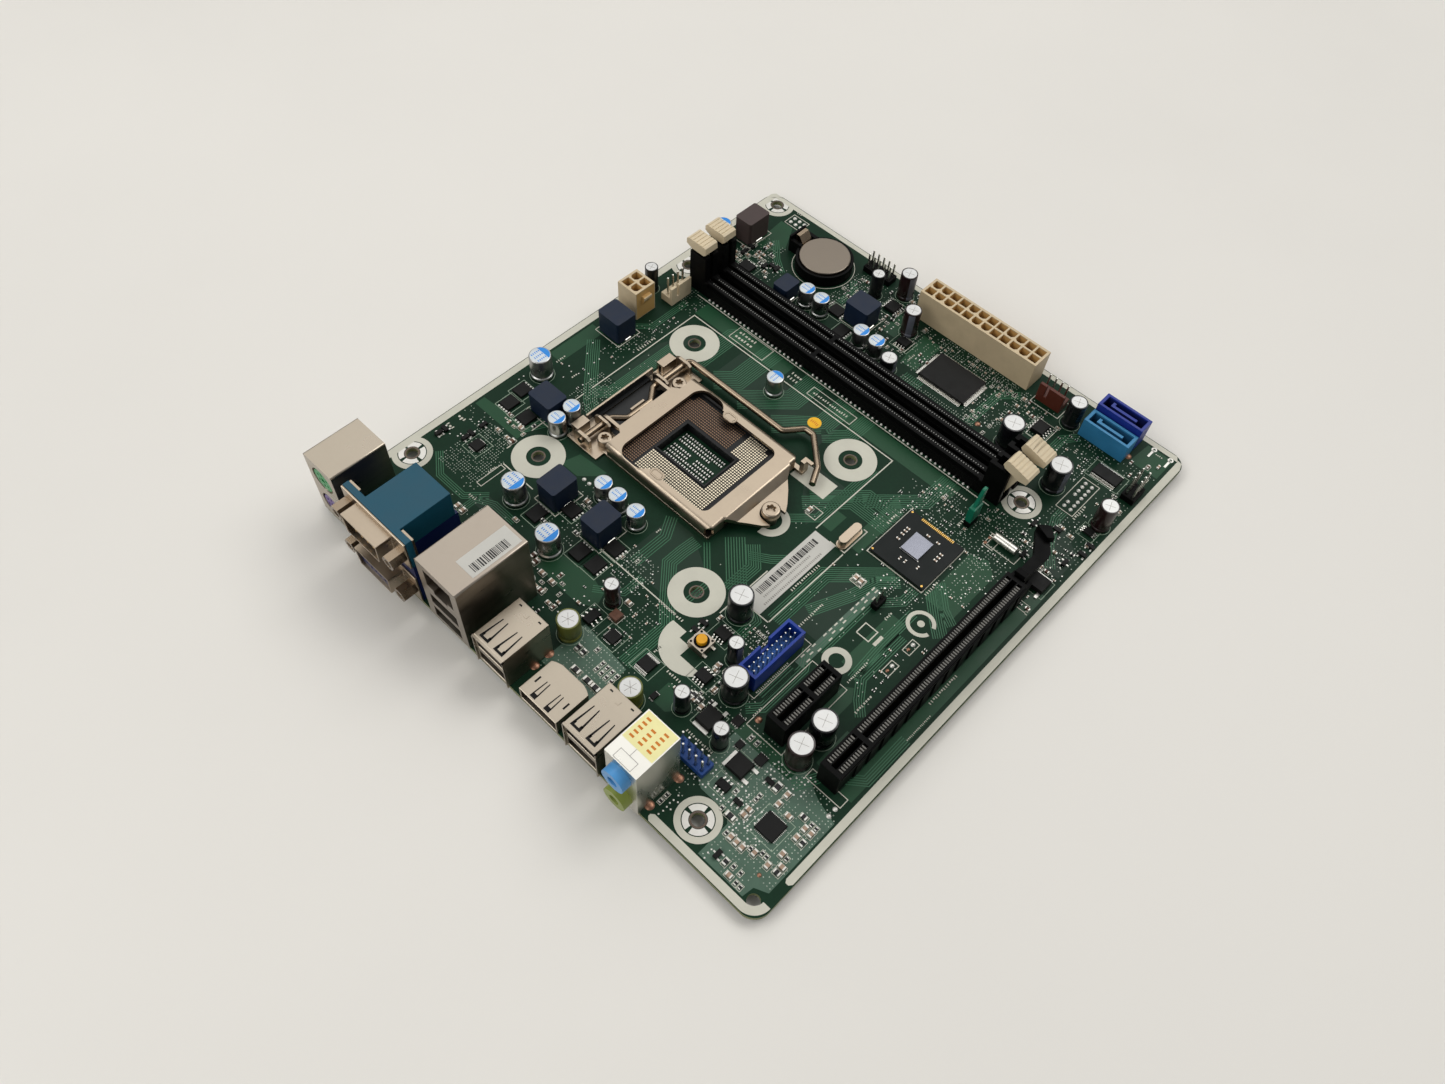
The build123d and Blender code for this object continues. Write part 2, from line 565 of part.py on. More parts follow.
RESET_SWITCH = (126.4, 49.6)
COIN_CELL = (42.8, 202.5)
COIN_R = 10.0
COIN_Z = (2.3, 5.5)
HOLDER_R = 11.3
HOLDER_TOP = 5.5


def make_small_movers():
    """The reset switch and the coin cell in its holder with the spring clip."""
    u, v = RESET_SWITCH
    body = centred(u, v, 0, (6.0, 6.0, 3.5)) - post(u, v, (1.5, 5), 1.75)
    save("reset_switch_body", body)
    save("reset_plunger", post(u, v, (2.0, 5.0), 1.68))

    u, v = COIN_CELL
    clip_v = (v - 1.1, v + 4.1)
    ring = post(u, v, (0, HOLDER_TOP - 0.9), HOLDER_R) + block((27.0, u - 6), (v - 3.0, v + 6.0), (0, HOLDER_TOP))
    ring += block((27.0, 27.8), (v - 3.0, v + 6.0), (HOLDER_TOP, 7.2))
    ring -= post(u, v, (COIN_Z[0], HOLDER_TOP + 1), COIN_R + 0.3)
    ring -= block((27.8, 34.0), grown(clip_v, 0.4), (0.8, HOLDER_TOP + 1))
    save("battery_holder", ring)
    clip = along_v([(28.9, 0.8), (31.2, 0.8), (31.2, 1.2), (29.3, 1.2), (29.3, 7.4), (30.2, 7.4), (32.2, 4.6),
                    (32.5, 4.8), (30.4, 7.9), (28.9, 7.9)], clip_v)
    save("battery_clip", clip)
    cell = post(u, v, (COIN_Z[0], COIN_Z[1]), COIN_R)
    cell = chamfer(cell.edges().sort_by(Axis.Z)[0], 0.6)
    save("coin_cell", fillet(cell.edges().sort_by(Axis.Z)[-1], 0.4))


# ---- Rear ports ------------------------------------------------------------------------------------
REAR_V = -0.3
PS2 = ((4.5, 18.8), 19.6, 28.0)
PS2_SOCKET_Z = (7.4, 20.6)
DSUB_U = 39.85
DSUB_FLANGE = 30.1
DSUB_SCREWS = 24.99
VGA_Z = 6.7
SERIAL_Z = 24.5
DSUB_SPLIT = 18.5
DSUB_H = 31.0
LAN = ((59.2, 77.8), 26.4, 29.8)
USB_MID = (89.3, 128.2)
USB_W = 13.1
USB_V = 17.0
USB_H = 15.6
USB_OPENING = (12.3, 5.2)
DP = ((101.2, 117.2), 13.6, 7.2)
AUDIO = ((139.1, 151.2), 15.5, 26.4)
JACK_Z = (7.0, 20.0)


def make_ps2():
    """The stacked keyboard and mouse ports."""
    (low, high), front, height = PS2
    middle = (low + high) / 2
    shell = block((low, high), (REAR_V, front), (0, height))
    shell = fillet(shell.edges().filter_by(Axis.Y).group_by(Axis.Z)[-1], 0.6)
    for z in PS2_SOCKET_Z:
        shell -= rod_v(middle, (REAR_V - 1, REAR_V + 12), z, 4.9)
    save("ps2_shell", shell)
    for name, z in zip(("ps2_keyboard_socket", "ps2_mouse_socket"), PS2_SOCKET_Z):
        insert = rod_v(middle, (REAR_V + 0.2, REAR_V + 12), z, 4.25) + rod_v(middle, (REAR_V + 9, REAR_V + 12), z, 4.9)
        for i in range(6):
            angle = radians(60 * i + 30)
            insert -= rod_v(middle + 2.5 * cos(angle), (REAR_V - 1, REAR_V + 6), z + 2.5 * sin(angle), 0.5)
        insert -= block((middle - 0.9, middle + 0.9), (REAR_V - 1, REAR_V + 6), (z - 1.0, z + 0.6))
        save(name, insert)


def d_outline(width_top, width_bottom, height, z):
    """The D shape of a connector, wide side up, as (u, z) points about the stack's middle."""
    return [(DSUB_U - width_bottom / 2, z - height / 2), (DSUB_U + width_bottom / 2, z - height / 2),
            (DSUB_U + width_top / 2, z + height / 2), (DSUB_U - width_top / 2, z + height / 2)]


def make_dsub_stack():
    """The serial port over the display port: two housings, nickel shells and four jack screws."""
    flange = (DSUB_U - DSUB_FLANGE / 2, DSUB_U + DSUB_FLANGE / 2)
    stem = (33.2, 49.5)
    lower = block(flange, (0.4, 2.6), (0, DSUB_SPLIT)) + block(stem, (2.6, 21.8), (0, DSUB_SPLIT + 2.0))
    face = along_v(d_outline(16.0, 14.6, 7.4, VGA_Z), (-4.8, 0.5))
    for row in range(3):
        for column in range(5):
            hole_u = DSUB_U + (column - 2) * 2.29 + (row - 1) * 0.6
            face -= rod_v(hole_u, (-6, -2), VGA_Z + (row - 1) * 1.98, 0.45)
    save("vga_housing", lower + face)

    upper = block(flange, (0.4, 2.6), (DSUB_SPLIT, DSUB_H)) + block(stem, (2.6, 20.9), (DSUB_SPLIT + 2.0, DSUB_H))
    save("serial_housing", upper)

    shells = []
    for z, low, high, d_height in ((VGA_Z, 0.2, 13.0, 8.4), (SERIAL_Z, 18.6, 30.8, 8.4)):
        skin = block(flange, (REAR_V, 0.4), (low, high))
        skin += along_v(d_outline(17.0, 15.5, d_height, z), (-5.8, 0.0))
        skin -= along_v(d_outline(16.1, 14.7, d_height - 0.9, z), (-7, 1))
        for side in (-1, 1):
            screw_u = DSUB_U + side * DSUB_SCREWS / 2
            skin -= rod_v(screw_u, (-2, 1), z, 1.6)
            tab = block(sorted((screw_u - side * 2.6, DSUB_U + side * DSUB_FLANGE / 2)), (2.6, 3.4), (z - 5.8, z + 6.1))
            shells.append(tab)
        shells.append(skin)
    save("dsub_shells", *shells)

    screws = []
    for z in (VGA_Z, SERIAL_Z):
        for side in (-1, 1):
            screw_u = DSUB_U + side * DSUB_SCREWS / 2
            hexagon = hex_rod_v(screw_u, (-5.4, REAR_V), z, 4.8)
            hexagon -= rod_v(screw_u, (-7, -1.4), z, 1.42)
            screws.append(hexagon + rod_v(screw_u, (REAR_V, 0.4), z, 1.5))
    save("jack_screws", *screws)

    pins = []
    for row, count in ((1, 5), (-1, 4)):
        for i in range(count):
            pin_u = DSUB_U + (i - (count - 1) / 2) * 2.77
            pins.append(rod_v(pin_u, (-4.6, 0.4), SERIAL_Z + row * 1.42, 0.5))
    save("serial_pins", *pins)


def usb_pocket(middle, low):
    """One port opening, cut into a shell from the rear."""
    half = USB_OPENING[0] / 2
    return block((middle - half, middle + half), (REAR_V - 1, USB_V - 2), (low, low + USB_OPENING[1]))


def usb_tongue(middle, low):
    """The contact tongue in one port, with its moulded back."""
    half = USB_OPENING[0] / 2
    tongue = block((middle - 5.6, middle + 5.6), (REAR_V + 0.6, USB_V - 5), (low + 3.0, low + 4.9))
    return tongue + block((middle - half, middle + half), (USB_V - 5, USB_V - 2), (low, low + USB_OPENING[1]))


def make_usb_lan_and_display():
    """The network-and-USB stack, two dual USB stacks and the display connector."""
    (low, high), front, height = LAN
    middle = (low + high) / 2
    shell = block((low, high), (REAR_V, front), (0, height))
    shell = fillet(shell.edges().filter_by(Axis.Y).group_by(Axis.Z)[-1], 0.6)
    jack = block((middle - 6.1, middle + 6.1), (REAR_V - 1, 15), (18.6, 26.8))
    jack += block((middle - 3.1, middle + 3.1), (REAR_V - 1, 8), (16.9, 18.7))
    shell -= jack + usb_pocket(middle, 1.5) + usb_pocket(middle, 8.9)
    save("lan_usb_shell", shell)

    stacks = []
    tongues = [usb_tongue(middle, 1.5), usb_tongue(middle, 8.9),
               block((middle - 5.0, middle + 5.0), (12.0, 15.0), (19.2, 25.6))]
    for stack_mid in USB_MID:
        stack = block((stack_mid - USB_W / 2, stack_mid + USB_W / 2), (REAR_V, USB_V), (0, USB_H))
        for opening in (1.3, 8.9):
            stack -= usb_pocket(stack_mid, opening)
            tongues.append(usb_tongue(stack_mid, opening))
        stacks.append(stack)
    save("usb_stack_shells", *stacks)

    (low, high), front, height = DP
    outline = [(low, REAR_V), (high, REAR_V), (high, front - 1.4), (high - 1.4, front - 0.6), (high - 3.4, front),
               (low + 3.4, front), (low + 1.4, front - 0.6), (low, front - 1.4)]
    port = plate(outline, (0, height))
    port -= block((low + 0.5, high - 0.5), (REAR_V - 1, front - 3), (1.3, height - 0.5))
    save("displayport_shell", port)
    tongue = block((low + 1.6, high - 1.6), (REAR_V + 1.2, front - 3), (3.4, 5.0))
    tongues.append(tongue + block((low + 0.5, high - 0.5), (front - 5, front - 3), (1.3, height - 0.5)))
    save("port_inserts", *tongues)


def make_audio():
    """The stacked audio jacks: shield can and one moulded jack of each colour."""
    (low, high), front, height = AUDIO
    middle = (low + high) / 2
    rear = -0.8
    shell = block((low, high), (rear, front), (0, height))
    for z in JACK_Z:
        shell -= rod_v(middle, (rear - 1, front - 1.0), z, 4.1)
    save("audio_jack_shell", shell)
    for name, z in zip(("audio_jack_lower", "audio_jack_upper"), JACK_Z):
        jack = rod_v(middle, (rear - 3.2, front - 1.0), z, 4.1) - rod_v(middle, (rear - 4, front - 3), z, 1.8)
        save(name, jack)


# ---- Chips and discrete parts ----------------------------------------------------------------------
CHIPSET = (151.0, 124.2)
SUPER_IO = (113.9, 191.6)
POLYMER_8 = [(9.9, 87.5), (45.0, 45.6), (67.8, 40.1)]
POLYMER_6 = [(33.3, 81.1), (33.6, 74.1), (64.6, 66.8), (71.4, 66.8), (80.1, 66.5), (72.7, 141.0), (51.4, 182.2),
             (58.4, 182.2), (79.2, 180.5), (86.4, 180.5), (4.8, 185.4)]
SMALL_CAN = (2.5, 11.0)
MIDDLE_CAN = (3.15, 11.5)
LARGE_CAN = (4.0, 11.5)
SHORT_CAN = (3.7, 9.0)
LOW_CAN = (3.15, 6.0)
ELECTROLYTIC = [(5.7, 145.7, *SMALL_CAN), (66.7, 204.9, *SMALL_CAN), (93.9, 179.0, *LOW_CAN),
                (136.6, 53.5, *SMALL_CAN), (136.6, 30.9, *SMALL_CAN), (152.4, 30.6, *SMALL_CAN),
                (96.1, 41.2, *SMALL_CAN), (75.0, 213.0, *MIDDLE_CAN), (87.9, 199.0, *MIDDLE_CAN),
                (155.7, 206.0, *MIDDLE_CAN), (187.9, 176.0, *MIDDLE_CAN), (145.2, 182.0, *LARGE_CAN),
                (167.0, 178.6, *LARGE_CAN), (126.7, 66.2, *LARGE_CAN), (144.4, 45.0, *LARGE_CAN),
                (171.7, 53.0, *LARGE_CAN), (171.6, 43.0, *LARGE_CAN), (95.0, 24.4, *SHORT_CAN),
                (124.4, 22.0, *SHORT_CAN)]
INDUCTORS = [(12.9, 121.3, 10.8, 9.1, 9.5), (24.4, 78.1, 10.8, 8.6, 8.5), (54.2, 56.0, 8.7, 10.6, 9.4),
             (74.7, 56.4, 8.7, 10.6, 9.4), (71.5, 190.8, 10.5, 9.0, 9.0), (42.9, 180.2, 6.8, 8.2, 6.3),
             (11.2, 195.2, 8.2, 11.2, 10.2)]
CHIPS = [(11.0, 77.4, 5.2, 5.6, 1.0), (12.4, 70.5, 5.2, 5.8, 1.0), (21.5, 70.3, 5.2, 5.8, 1.0),
         (61.5, 55.2, 5.6, 5.2, 1.0), (82.2, 55.0, 5.6, 5.2, 1.0), (54.6, 46.2, 5.2, 6.2, 1.0),
         (75.5, 46.2, 5.2, 6.2, 1.0), (82.5, 46.4, 5.2, 6.2, 1.0),
         (145.0, 34.0, 6.0, 6.6, 2.2), (161.4, 29.5, 6.4, 6.2, 2.2), (186.6, 142.0, 6.2, 6.0, 2.2),
         (179.6, 22.8, 6.8, 6.8, 0.9), (119.2, 33.6, 5.2, 4.4, 1.0), (178.2, 195.4, 10.0, 5.2, 1.2),
         (128.3, 57.2, 5.0, 4.0, 1.5), (134.2, 42.7, 5.0, 4.0, 1.5), (149.9, 195.8, 5.0, 6.0, 1.8),
         (90.3, 193.2, 5.0, 3.9, 1.5), (105.2, 32.7, 4.4, 4.4, 0.9), (19.1, 50.6, 4.4, 4.4, 0.9),
         (95.6, 32.8, 3.4, 5.4, 1.2), (162.0, 22.2, 4.4, 2.8, 1.2), (22.8, 180.5, 6.0, 4.6, 1.2),
         (76.0, 204.5, 5.0, 5.4, 1.4), (186.8, 171.0, 3.2, 3.0, 1.0)]


def tapered_can(u, v, radius, height):
    """A can with a rolled groove near its foot."""
    can = post(u, v, (0, height), radius)
    groove = post(u, v, (1.2, 1.9), radius + 1) - post(u, v, (1.2, 1.9), radius - 0.25)
    return fillet((can - groove).edges().sort_by(Axis.Z)[-1], 0.3)


def make_chips():
    """The chipset, the large controller and the smaller packages."""
    u, v = CHIPSET
    save("chipset_package", centred(u, v, 0.3, (22.0, 22.0, 1.0)) + centred(u, v, 0, (20.4, 20.4, 0.3)))
    save("chipset_die", centred(u - 0.5, v + 0.4, 1.3, (7.0, 8.4, 0.8)))
    u, v = SUPER_IO
    save("super_io_chip", centred(u, v, 0.1, (20.0, 14.0, 1.5)))
    save("small_chips", *[centred(u, v, 0, (length, width, height)) for u, v, length, width, height in CHIPS])


def make_discretes():
    """Capacitors, inductors and crystals."""
    cans = [tapered_can(u, v, 4.0, 10.0) for u, v in POLYMER_8] + [tapered_can(u, v, 3.15, 8.0) for u, v in POLYMER_6]
    save("polymer_capacitors", *cans)
    save("electrolytic_capacitors", *[tapered_can(*entry) for entry in ELECTROLYTIC])
    blocks = []
    for u, v, length, width, height in INDUCTORS:
        choke = centred(u, v, 0, (length, width, height))
        blocks.append(fillet(upright_edges(choke), 1.1))
    save("power_inductors", *blocks)
    foot = fillet(upright_edges(centred(132.5, 112.1, 0, (3.9, 11.2, 0.7))), 1.9)
    can = fillet(upright_edges(centred(132.5, 112.1, 0, (3.0, 9.9, 3.6))), 1.45)
    cylinder = rod_u((166.2, 174.6), 146.3, 1.6, 1.55)
    save("crystals", foot + can, cylinder)


def make_solder_tails():
    """Trimmed leads and shell legs below the board, as deep as the backplate, so that it rests level."""
    places = [(u, v + side * 2.4) for v in DIMM_V.values() for u in (20.0, 53.5, 86.5, 120.0, 153.0)
              for side in (-1, 1)]
    places += [(u, v) for u, v in power_cells(*MAIN_POWER)[::5]] + power_cells(*CPU_POWER)[::3]
    places += [(PCIE_U["x16"], v) for v in (46.0, 88.0, 128.0)] + [(PCIE_U["x1"], v) for v in (46.0, 64.0)]
    places += [(6.0, 12.0), (17.5, 12.0), (28.5, 3.0), (51.5, 3.0), (61.0, 10.0), (76.0, 10.0), (84.0, 9.0),
               (94.5, 9.0), (103.0, 8.0), (115.5, 8.0), (123.0, 9.0), (133.5, 9.0), (140.5, 8.0), (149.5, 8.0)]
    save("solder_tails", *[post(u, v, (UNDERSIDE - TAIL_LENGTH, UNDERSIDE), 0.55) for u, v in places])


os.makedirs("parts", exist_ok=True)
make_board()
make_backplate()
make_socket()
make_ilm_frame()
make_ilm_screws()
make_load_plate()
make_load_lever()
for slot in DIMM_V:
    make_dimm(slot)
make_pcie()
make_power()
make_headers()
save("sata_port_light", sata_port(160.3, 204.0, 8.0))
save("sata_port_dark", sata_port(160.3, 211.5, 10.3))
make_small_movers()
make_ps2()
make_dsub_stack()
make_usb_lan_and_display()
make_audio()
make_chips()
make_discretes()
make_solder_tails()
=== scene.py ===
import math
import random

import bpy
from mathutils import Euler, Matrix, Vector


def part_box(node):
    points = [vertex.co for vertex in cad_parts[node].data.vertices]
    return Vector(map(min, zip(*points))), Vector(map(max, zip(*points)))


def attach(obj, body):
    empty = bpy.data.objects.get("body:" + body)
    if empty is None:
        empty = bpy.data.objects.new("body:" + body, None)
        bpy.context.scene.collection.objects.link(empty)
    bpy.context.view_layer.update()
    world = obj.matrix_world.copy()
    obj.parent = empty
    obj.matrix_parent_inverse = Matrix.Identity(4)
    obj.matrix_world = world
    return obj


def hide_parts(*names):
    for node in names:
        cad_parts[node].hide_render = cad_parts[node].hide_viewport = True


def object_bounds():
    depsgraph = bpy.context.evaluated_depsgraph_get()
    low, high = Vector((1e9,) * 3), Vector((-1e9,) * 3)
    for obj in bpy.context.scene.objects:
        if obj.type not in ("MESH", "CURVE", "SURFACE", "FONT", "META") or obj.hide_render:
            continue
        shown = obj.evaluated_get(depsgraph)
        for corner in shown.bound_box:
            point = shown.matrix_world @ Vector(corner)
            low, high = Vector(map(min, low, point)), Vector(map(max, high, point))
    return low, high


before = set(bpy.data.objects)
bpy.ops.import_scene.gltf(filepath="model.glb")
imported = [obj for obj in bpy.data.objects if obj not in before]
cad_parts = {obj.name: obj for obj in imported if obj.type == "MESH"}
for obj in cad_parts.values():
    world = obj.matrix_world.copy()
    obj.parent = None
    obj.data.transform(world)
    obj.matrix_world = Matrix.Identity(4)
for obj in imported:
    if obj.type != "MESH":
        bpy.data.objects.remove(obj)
CAD_BOX = [list(corner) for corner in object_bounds()]
RNG = random.Random(11)

# Board coordinates in millimetres: u along the rear edge, v from rear to front, z up from the component
# face. The row frame's origin is the standoff hole beside the audio jacks, on the board's underside.
DATUM = (163.83, 10.16, -1.6)


def place(u, v, z):
    """Board millimetres as the frame's metres."""
    return ((u - DATUM[0]) / 1000, (v - DATUM[1]) / 1000, (z - DATUM[2]) / 1000)


def node_box(name):
    """A CAD node's limits in board millimetres: (u0, u1, v0, v1, z0, z1)."""
    low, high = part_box(name)
    return tuple(value * 1000 + DATUM[i // 2] for i, value in
                 enumerate((low[0], high[0], low[1], high[1], low[2], high[2])))


# ---- Materials -------------------------------------------------------------------------------------
def linear(code, factor=1.0):
    """A linear colour from a six-digit sRGB code, made lighter or darker by a factor."""
    parts = [int(code[i:i + 2], 16) / 255 for i in (0, 2, 4)]
    colour = (p / 12.92 if p <= 0.04045 else ((p + 0.055) / 1.055) ** 2.4 for p in parts)
    return tuple(min(1.0, c * factor) for c in colour) + (1.0,)


class Shader:
    """A Principled material whose colour, roughness and relief come from noise in object space."""

    def __init__(self, name):
        self.material = bpy.data.materials.new(name)
        self.material.use_nodes = True
        self.nodes = self.material.node_tree.nodes
        self.shader = self.nodes["Principled BSDF"]
        self.coords = self.nodes.new("ShaderNodeTexCoord").outputs["Object"]

    def feed(self, socket, value):
        """Links a socket to another node's output, or sets its plain value."""
        if hasattr(value, "is_output"):
            self.material.node_tree.links.new(value, socket)
        else:
            socket.default_value = value

    def set(self, node=None, **values):
        for key, value in values.items():
            self.feed((node or self.shader).inputs[key.replace("_", " ")], value)

    def node(self, kind, output, **values):
        """A new node's output, with the node's inputs set or linked."""
        node = self.nodes.new("ShaderNode" + kind)
        self.set(node, **values)
        return node.outputs[output]

    def noise(self, scale, detail=3.0, stretch=(1, 1, 1)):
        vector = self.node("Mapping", "Vector", Vector=self.coords, Scale=stretch)
        return self.node("TexNoise", "Fac", Vector=vector, Scale=scale, Detail=detail, Roughness=0.55)

    def ramp(self, factor, stops):
        node = self.nodes.new("ShaderNodeValToRGB")
        elements = node.color_ramp.elements
        while len(elements) < len(stops):
            elements.new(0.5)
        for element, (at, colour) in zip(elements, stops):
            element.position = at
            element.color = colour
        self.set(node, Fac=factor)
        return node.outputs["Color"]

    def remap(self, factor, low, high):
        """Spreads the middle of a noise's range over the values from low to high."""
        return self.node("MapRange", "Result", Value=factor, From_Min=0.3, From_Max=0.7, To_Min=low,
                         To_Max=high)

    def mix(self, factor, first, second):
        node = self.nodes.new("ShaderNodeMix")
        node.data_type = "RGBA"
        colours = [socket for socket in node.inputs if socket.type == "RGBA"]
        for socket, value in ((node.inputs["Factor"], factor), (colours[0], first), (colours[1], second)):
            self.feed(socket, value)
        return [socket for socket in node.outputs if socket.type == "RGBA"][0]

    def math(self, operation, first, second=0.0):
        node = self.nodes.new("ShaderNodeMath")
        node.operation = operation
        for socket, value in zip(node.inputs, (first, second)):
            self.feed(socket, value)
        return node.outputs["Value"]

    def bump(self, height, strength, distance):
        self.set(Normal=self.node("Bump", "Normal", Strength=strength, Distance=distance, Height=height))


def finish(name, code, rough=0.5, metal=0.0, vary=0.12, grain=220.0, relief=0.15, stretch=(1, 1, 1), coat=0.0,
           fine=2400.0, spread=0.08, specular=0.32):
    """A finish with mottled colour, uneven gloss and a fine relief."""
    shader = Shader(name)
    mottle = shader.noise(grain, 4.0, stretch)
    texture = shader.noise(fine, 2.0, stretch)
    tone = shader.ramp(mottle, [(0.3, linear(code, 1 - vary)), (0.5, linear(code)),
                                (0.72, linear(code, 1 + vary))])
    shader.set(Base_Color=tone, Metallic=metal, Coat_Weight=coat,
               Specular_IOR_Level=0.5 if metal else specular,
               Roughness=shader.remap(mottle, max(0.04, rough - spread), min(1.0, rough + spread)))
    if relief:
        shader.bump(texture, relief, 0.00005)
    return shader.material


def brushed(name, code, rough=0.34, vary=0.1, stretch=(1, 1, 1), grain=300.0, relief=0.2):
    return finish(name, code, rough, 1.0, vary, grain, relief, stretch, spread=0.07)


def board_finish():
    """Solder mask over laminate: dark green faces with soft changes of tone and a tan sawn edge."""
    shader = Shader("solder_mask")
    broad = shader.noise(26.0, 3.0)
    weave = shader.noise(900.0, 2.0)
    mask = shader.ramp(broad, [(0.35, linear("0f2a1b")), (0.55, linear("122f1f")), (0.75, linear("163624"))])
    mask = shader.mix(shader.remap(weave, 0.0, 0.35), mask, linear("0d2417"))
    normal = shader.nodes.new("ShaderNodeTexCoord").outputs["Normal"]
    upright = shader.math("ABSOLUTE", shader.node("SeparateXYZ", "Z", Vector=normal))
    sawn = shader.math("LESS_THAN", upright, 0.5)
    shader.set(Base_Color=shader.mix(sawn, mask, linear("7c7f5c")), Roughness=shader.remap(broad, 0.36, 0.50),
               Specular_IOR_Level=0.1)
    shader.bump(weave, 0.12, 0.00004)
    return shader.material


def pocket_shade_finish(name, outer, inner, node, wall):
    """A moulding whose pockets, inside its outer walls, get a darker tone as painted shade (warmer too on the
    power headers).
    """
    shader = Shader(name)
    mottle = shader.noise(180.0, 4.0)
    low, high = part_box(node)
    pocket_shade = 1.0
    for index in range(3):
        at = shader.node("SeparateXYZ", index, Vector=shader.coords)
        for test, limit in (("GREATER_THAN", low[index] + wall / 1000),
                            ("LESS_THAN", high[index] - wall / 1000)):
            pocket_shade = shader.math("MULTIPLY", pocket_shade, shader.math(test, at, limit))
    rim = shader.ramp(mottle, [(0.3, linear(outer, 0.92)), (0.7, linear(outer, 1.05))])
    # The inner colour inside the walls is painted shade in the pockets.
    shader.set(Base_Color=shader.mix(pocket_shade, rim, linear(inner)), Roughness=shader.remap(mottle, 0.42, 0.58))
    shader.bump(shader.noise(2600.0, 2.0), 0.12, 0.00004)
    return shader.material


MASK = board_finish()
POUR = finish("copper_under_mask", "1a432a", 0.40, vary=0.08, grain=60, relief=0.08, specular=0.2)
MESHED = finish("routed_area", "435e4e", 0.42, vary=0.12, grain=260, relief=0.08)
POUR_DARK = finish("bare_laminate", "112c1d", 0.42, vary=0.08, grain=60, relief=0.08, specular=0.2)
TRACE = finish("trace_under_mask", "356347", 0.38, vary=0.08, grain=90, relief=0.05, specular=0.2)
SILK = finish("legend_print", "c2c0b2", 0.62, vary=0.05, grain=130, relief=0.25, fine=3200)
LEGEND = finish("legend_fine", "8fa08c", 0.6, vary=0.08, grain=300, relief=0.1)
SOLDER = finish("solder", "d3d1ca", 0.34, 0.45, 0.06, 600, 0.1)
COPPER = brushed("bare_copper", "96705c", 0.42, 0.15, grain=500)
VIA = finish("plated_hole", "b3bcae", 0.4, vary=0.1, grain=300, relief=0.0)
RIM = brushed("hole_rim", "5f544c", 0.32, 0.15, grain=500)
GOLD = brushed("gold_plating", "c09a54", 0.26, 0.12, grain=700)
TIN = brushed("tin_plating", "cfcdc6", 0.28, 0.08, grain=500)
NICKEL = brushed("nickel_plate", "a99b89", 0.33, 0.07, grain=160, relief=0.25)
NICKEL_DARK = brushed("nickel_wire", "8c7d6b", 0.26, 0.1, grain=300)
STEEL = brushed("plain_steel", "7d7871", 0.42, 0.12, grain=260)
SHELL = brushed("shell_steel", "a89e8f", 0.32, 0.07, (1, 1, 6), 90, 0.06)
SHELL_GREY = brushed("shell_grey", "a0968a", 0.34, 0.08, (1, 1, 6), 90, 0.06)
SHIELD = brushed("bright_shield", "dcdad2", 0.3, 0.04, (1, 1, 1), 60, 0.0)
COIN = brushed("coin_steel", "7e756a", 0.36, 0.05, (1, 1, 1), 120, 0.2)
SOCKET = finish("socket_moulding", "0a0b0d", 0.5, vary=0.2, grain=200, relief=0.2)
BRONZE = finish("contact_bronze", "6e5642", 0.42, 0.6, 0.04, 300, 0.0)
# A pale finish painted on one half of the socket's contacts as their highlight.
CONTACT_HIGHLIGHT = finish("contact_painted_highlight", "f6e9cd", 0.45, 0.3, 0.04, 300, 0.0)
BLACK = finish("black_moulding", "050505", 0.5, vary=0.25, grain=200, relief=0.2, specular=0.08)
# Light grey painted on the black slot ribs as their sheen.
RIB_SHEEN = finish("slot_rib_sheen", "6a6863", 0.5, vary=0.12, grain=200, relief=0.0)
GLINT = finish("slot_glint", "7c7c78", 0.45, vary=0.1, grain=300, relief=0.0)
# The gold slot contacts are painted dark brown as the shade of the narrow channel they sit in.
SHADED_CONTACT_STRIP = brushed("contact_strip_in_shade", "3a332a", 0.4, 0.1, grain=300)
BLACK_SOFT = finish("black_sleeve", "0e0e11", 0.3, vary=0.2, grain=150, relief=0.1, coat=0.15)
MAROON = finish("maroon_sleeve", "1e0d0e", 0.3, vary=0.2, grain=150, relief=0.1, coat=0.15)
OLIVE_SLEEVE = finish("olive_sleeve", "63672a", 0.34, vary=0.1, grain=150, relief=0.1, coat=0.1)
STRIPE = finish("sleeve_stripe", "5c5f69", 0.4, vary=0.1, grain=200, relief=0.1)
CAN = brushed("can_aluminium", "adadab", 0.3, 0.06, (1, 1, 1), 200, 0.15)
CAN_TOP = finish("can_print", "c9d0d4", 0.42, 0.2, 0.06, 260, 0.15)
CAN_LID = finish("can_lid", "cfcfcd", 0.36, 0.35, 0.06, 260, 0.15)
CAN_BLUE = finish("can_print_blue", "0f7fd2", 0.4, 0.1, 0.1, 260, 0.12)
CHOKE = finish("choke_powder", "0d1c31", 0.5, vary=0.14, grain=260, relief=0.35, fine=1800)
CHOKE_BROWN = finish("choke_brown", "443836", 0.55, vary=0.12, grain=260, relief=0.35, fine=1800)
CHIP = finish("chip_moulding", "111110", 0.5, vary=0.12, grain=300, relief=0.3, fine=3000, specular=0.16)
SUBSTRATE = finish("chip_substrate", "0e1413", 0.42, vary=0.12, grain=120, relief=0.15, specular=0.15)
DIE = finish("silicon", "80828c", 0.16, 0.85, 0.05, 60, 0.0)
CERAMIC_TAN = finish("ceramic_tan", "9c8470", 0.5, vary=0.15, grain=900, relief=0.1)
CERAMIC_BROWN = finish("ceramic_brown", "5c3d2e", 0.5, vary=0.15, grain=900, relief=0.1)
RESISTOR = finish("resistor_black", "111213", 0.35, vary=0.15, grain=900, relief=0.1)
IVORY = finish("ivory_moulding", "cdbd9f", 0.46, vary=0.06, grain=120, relief=0.2)
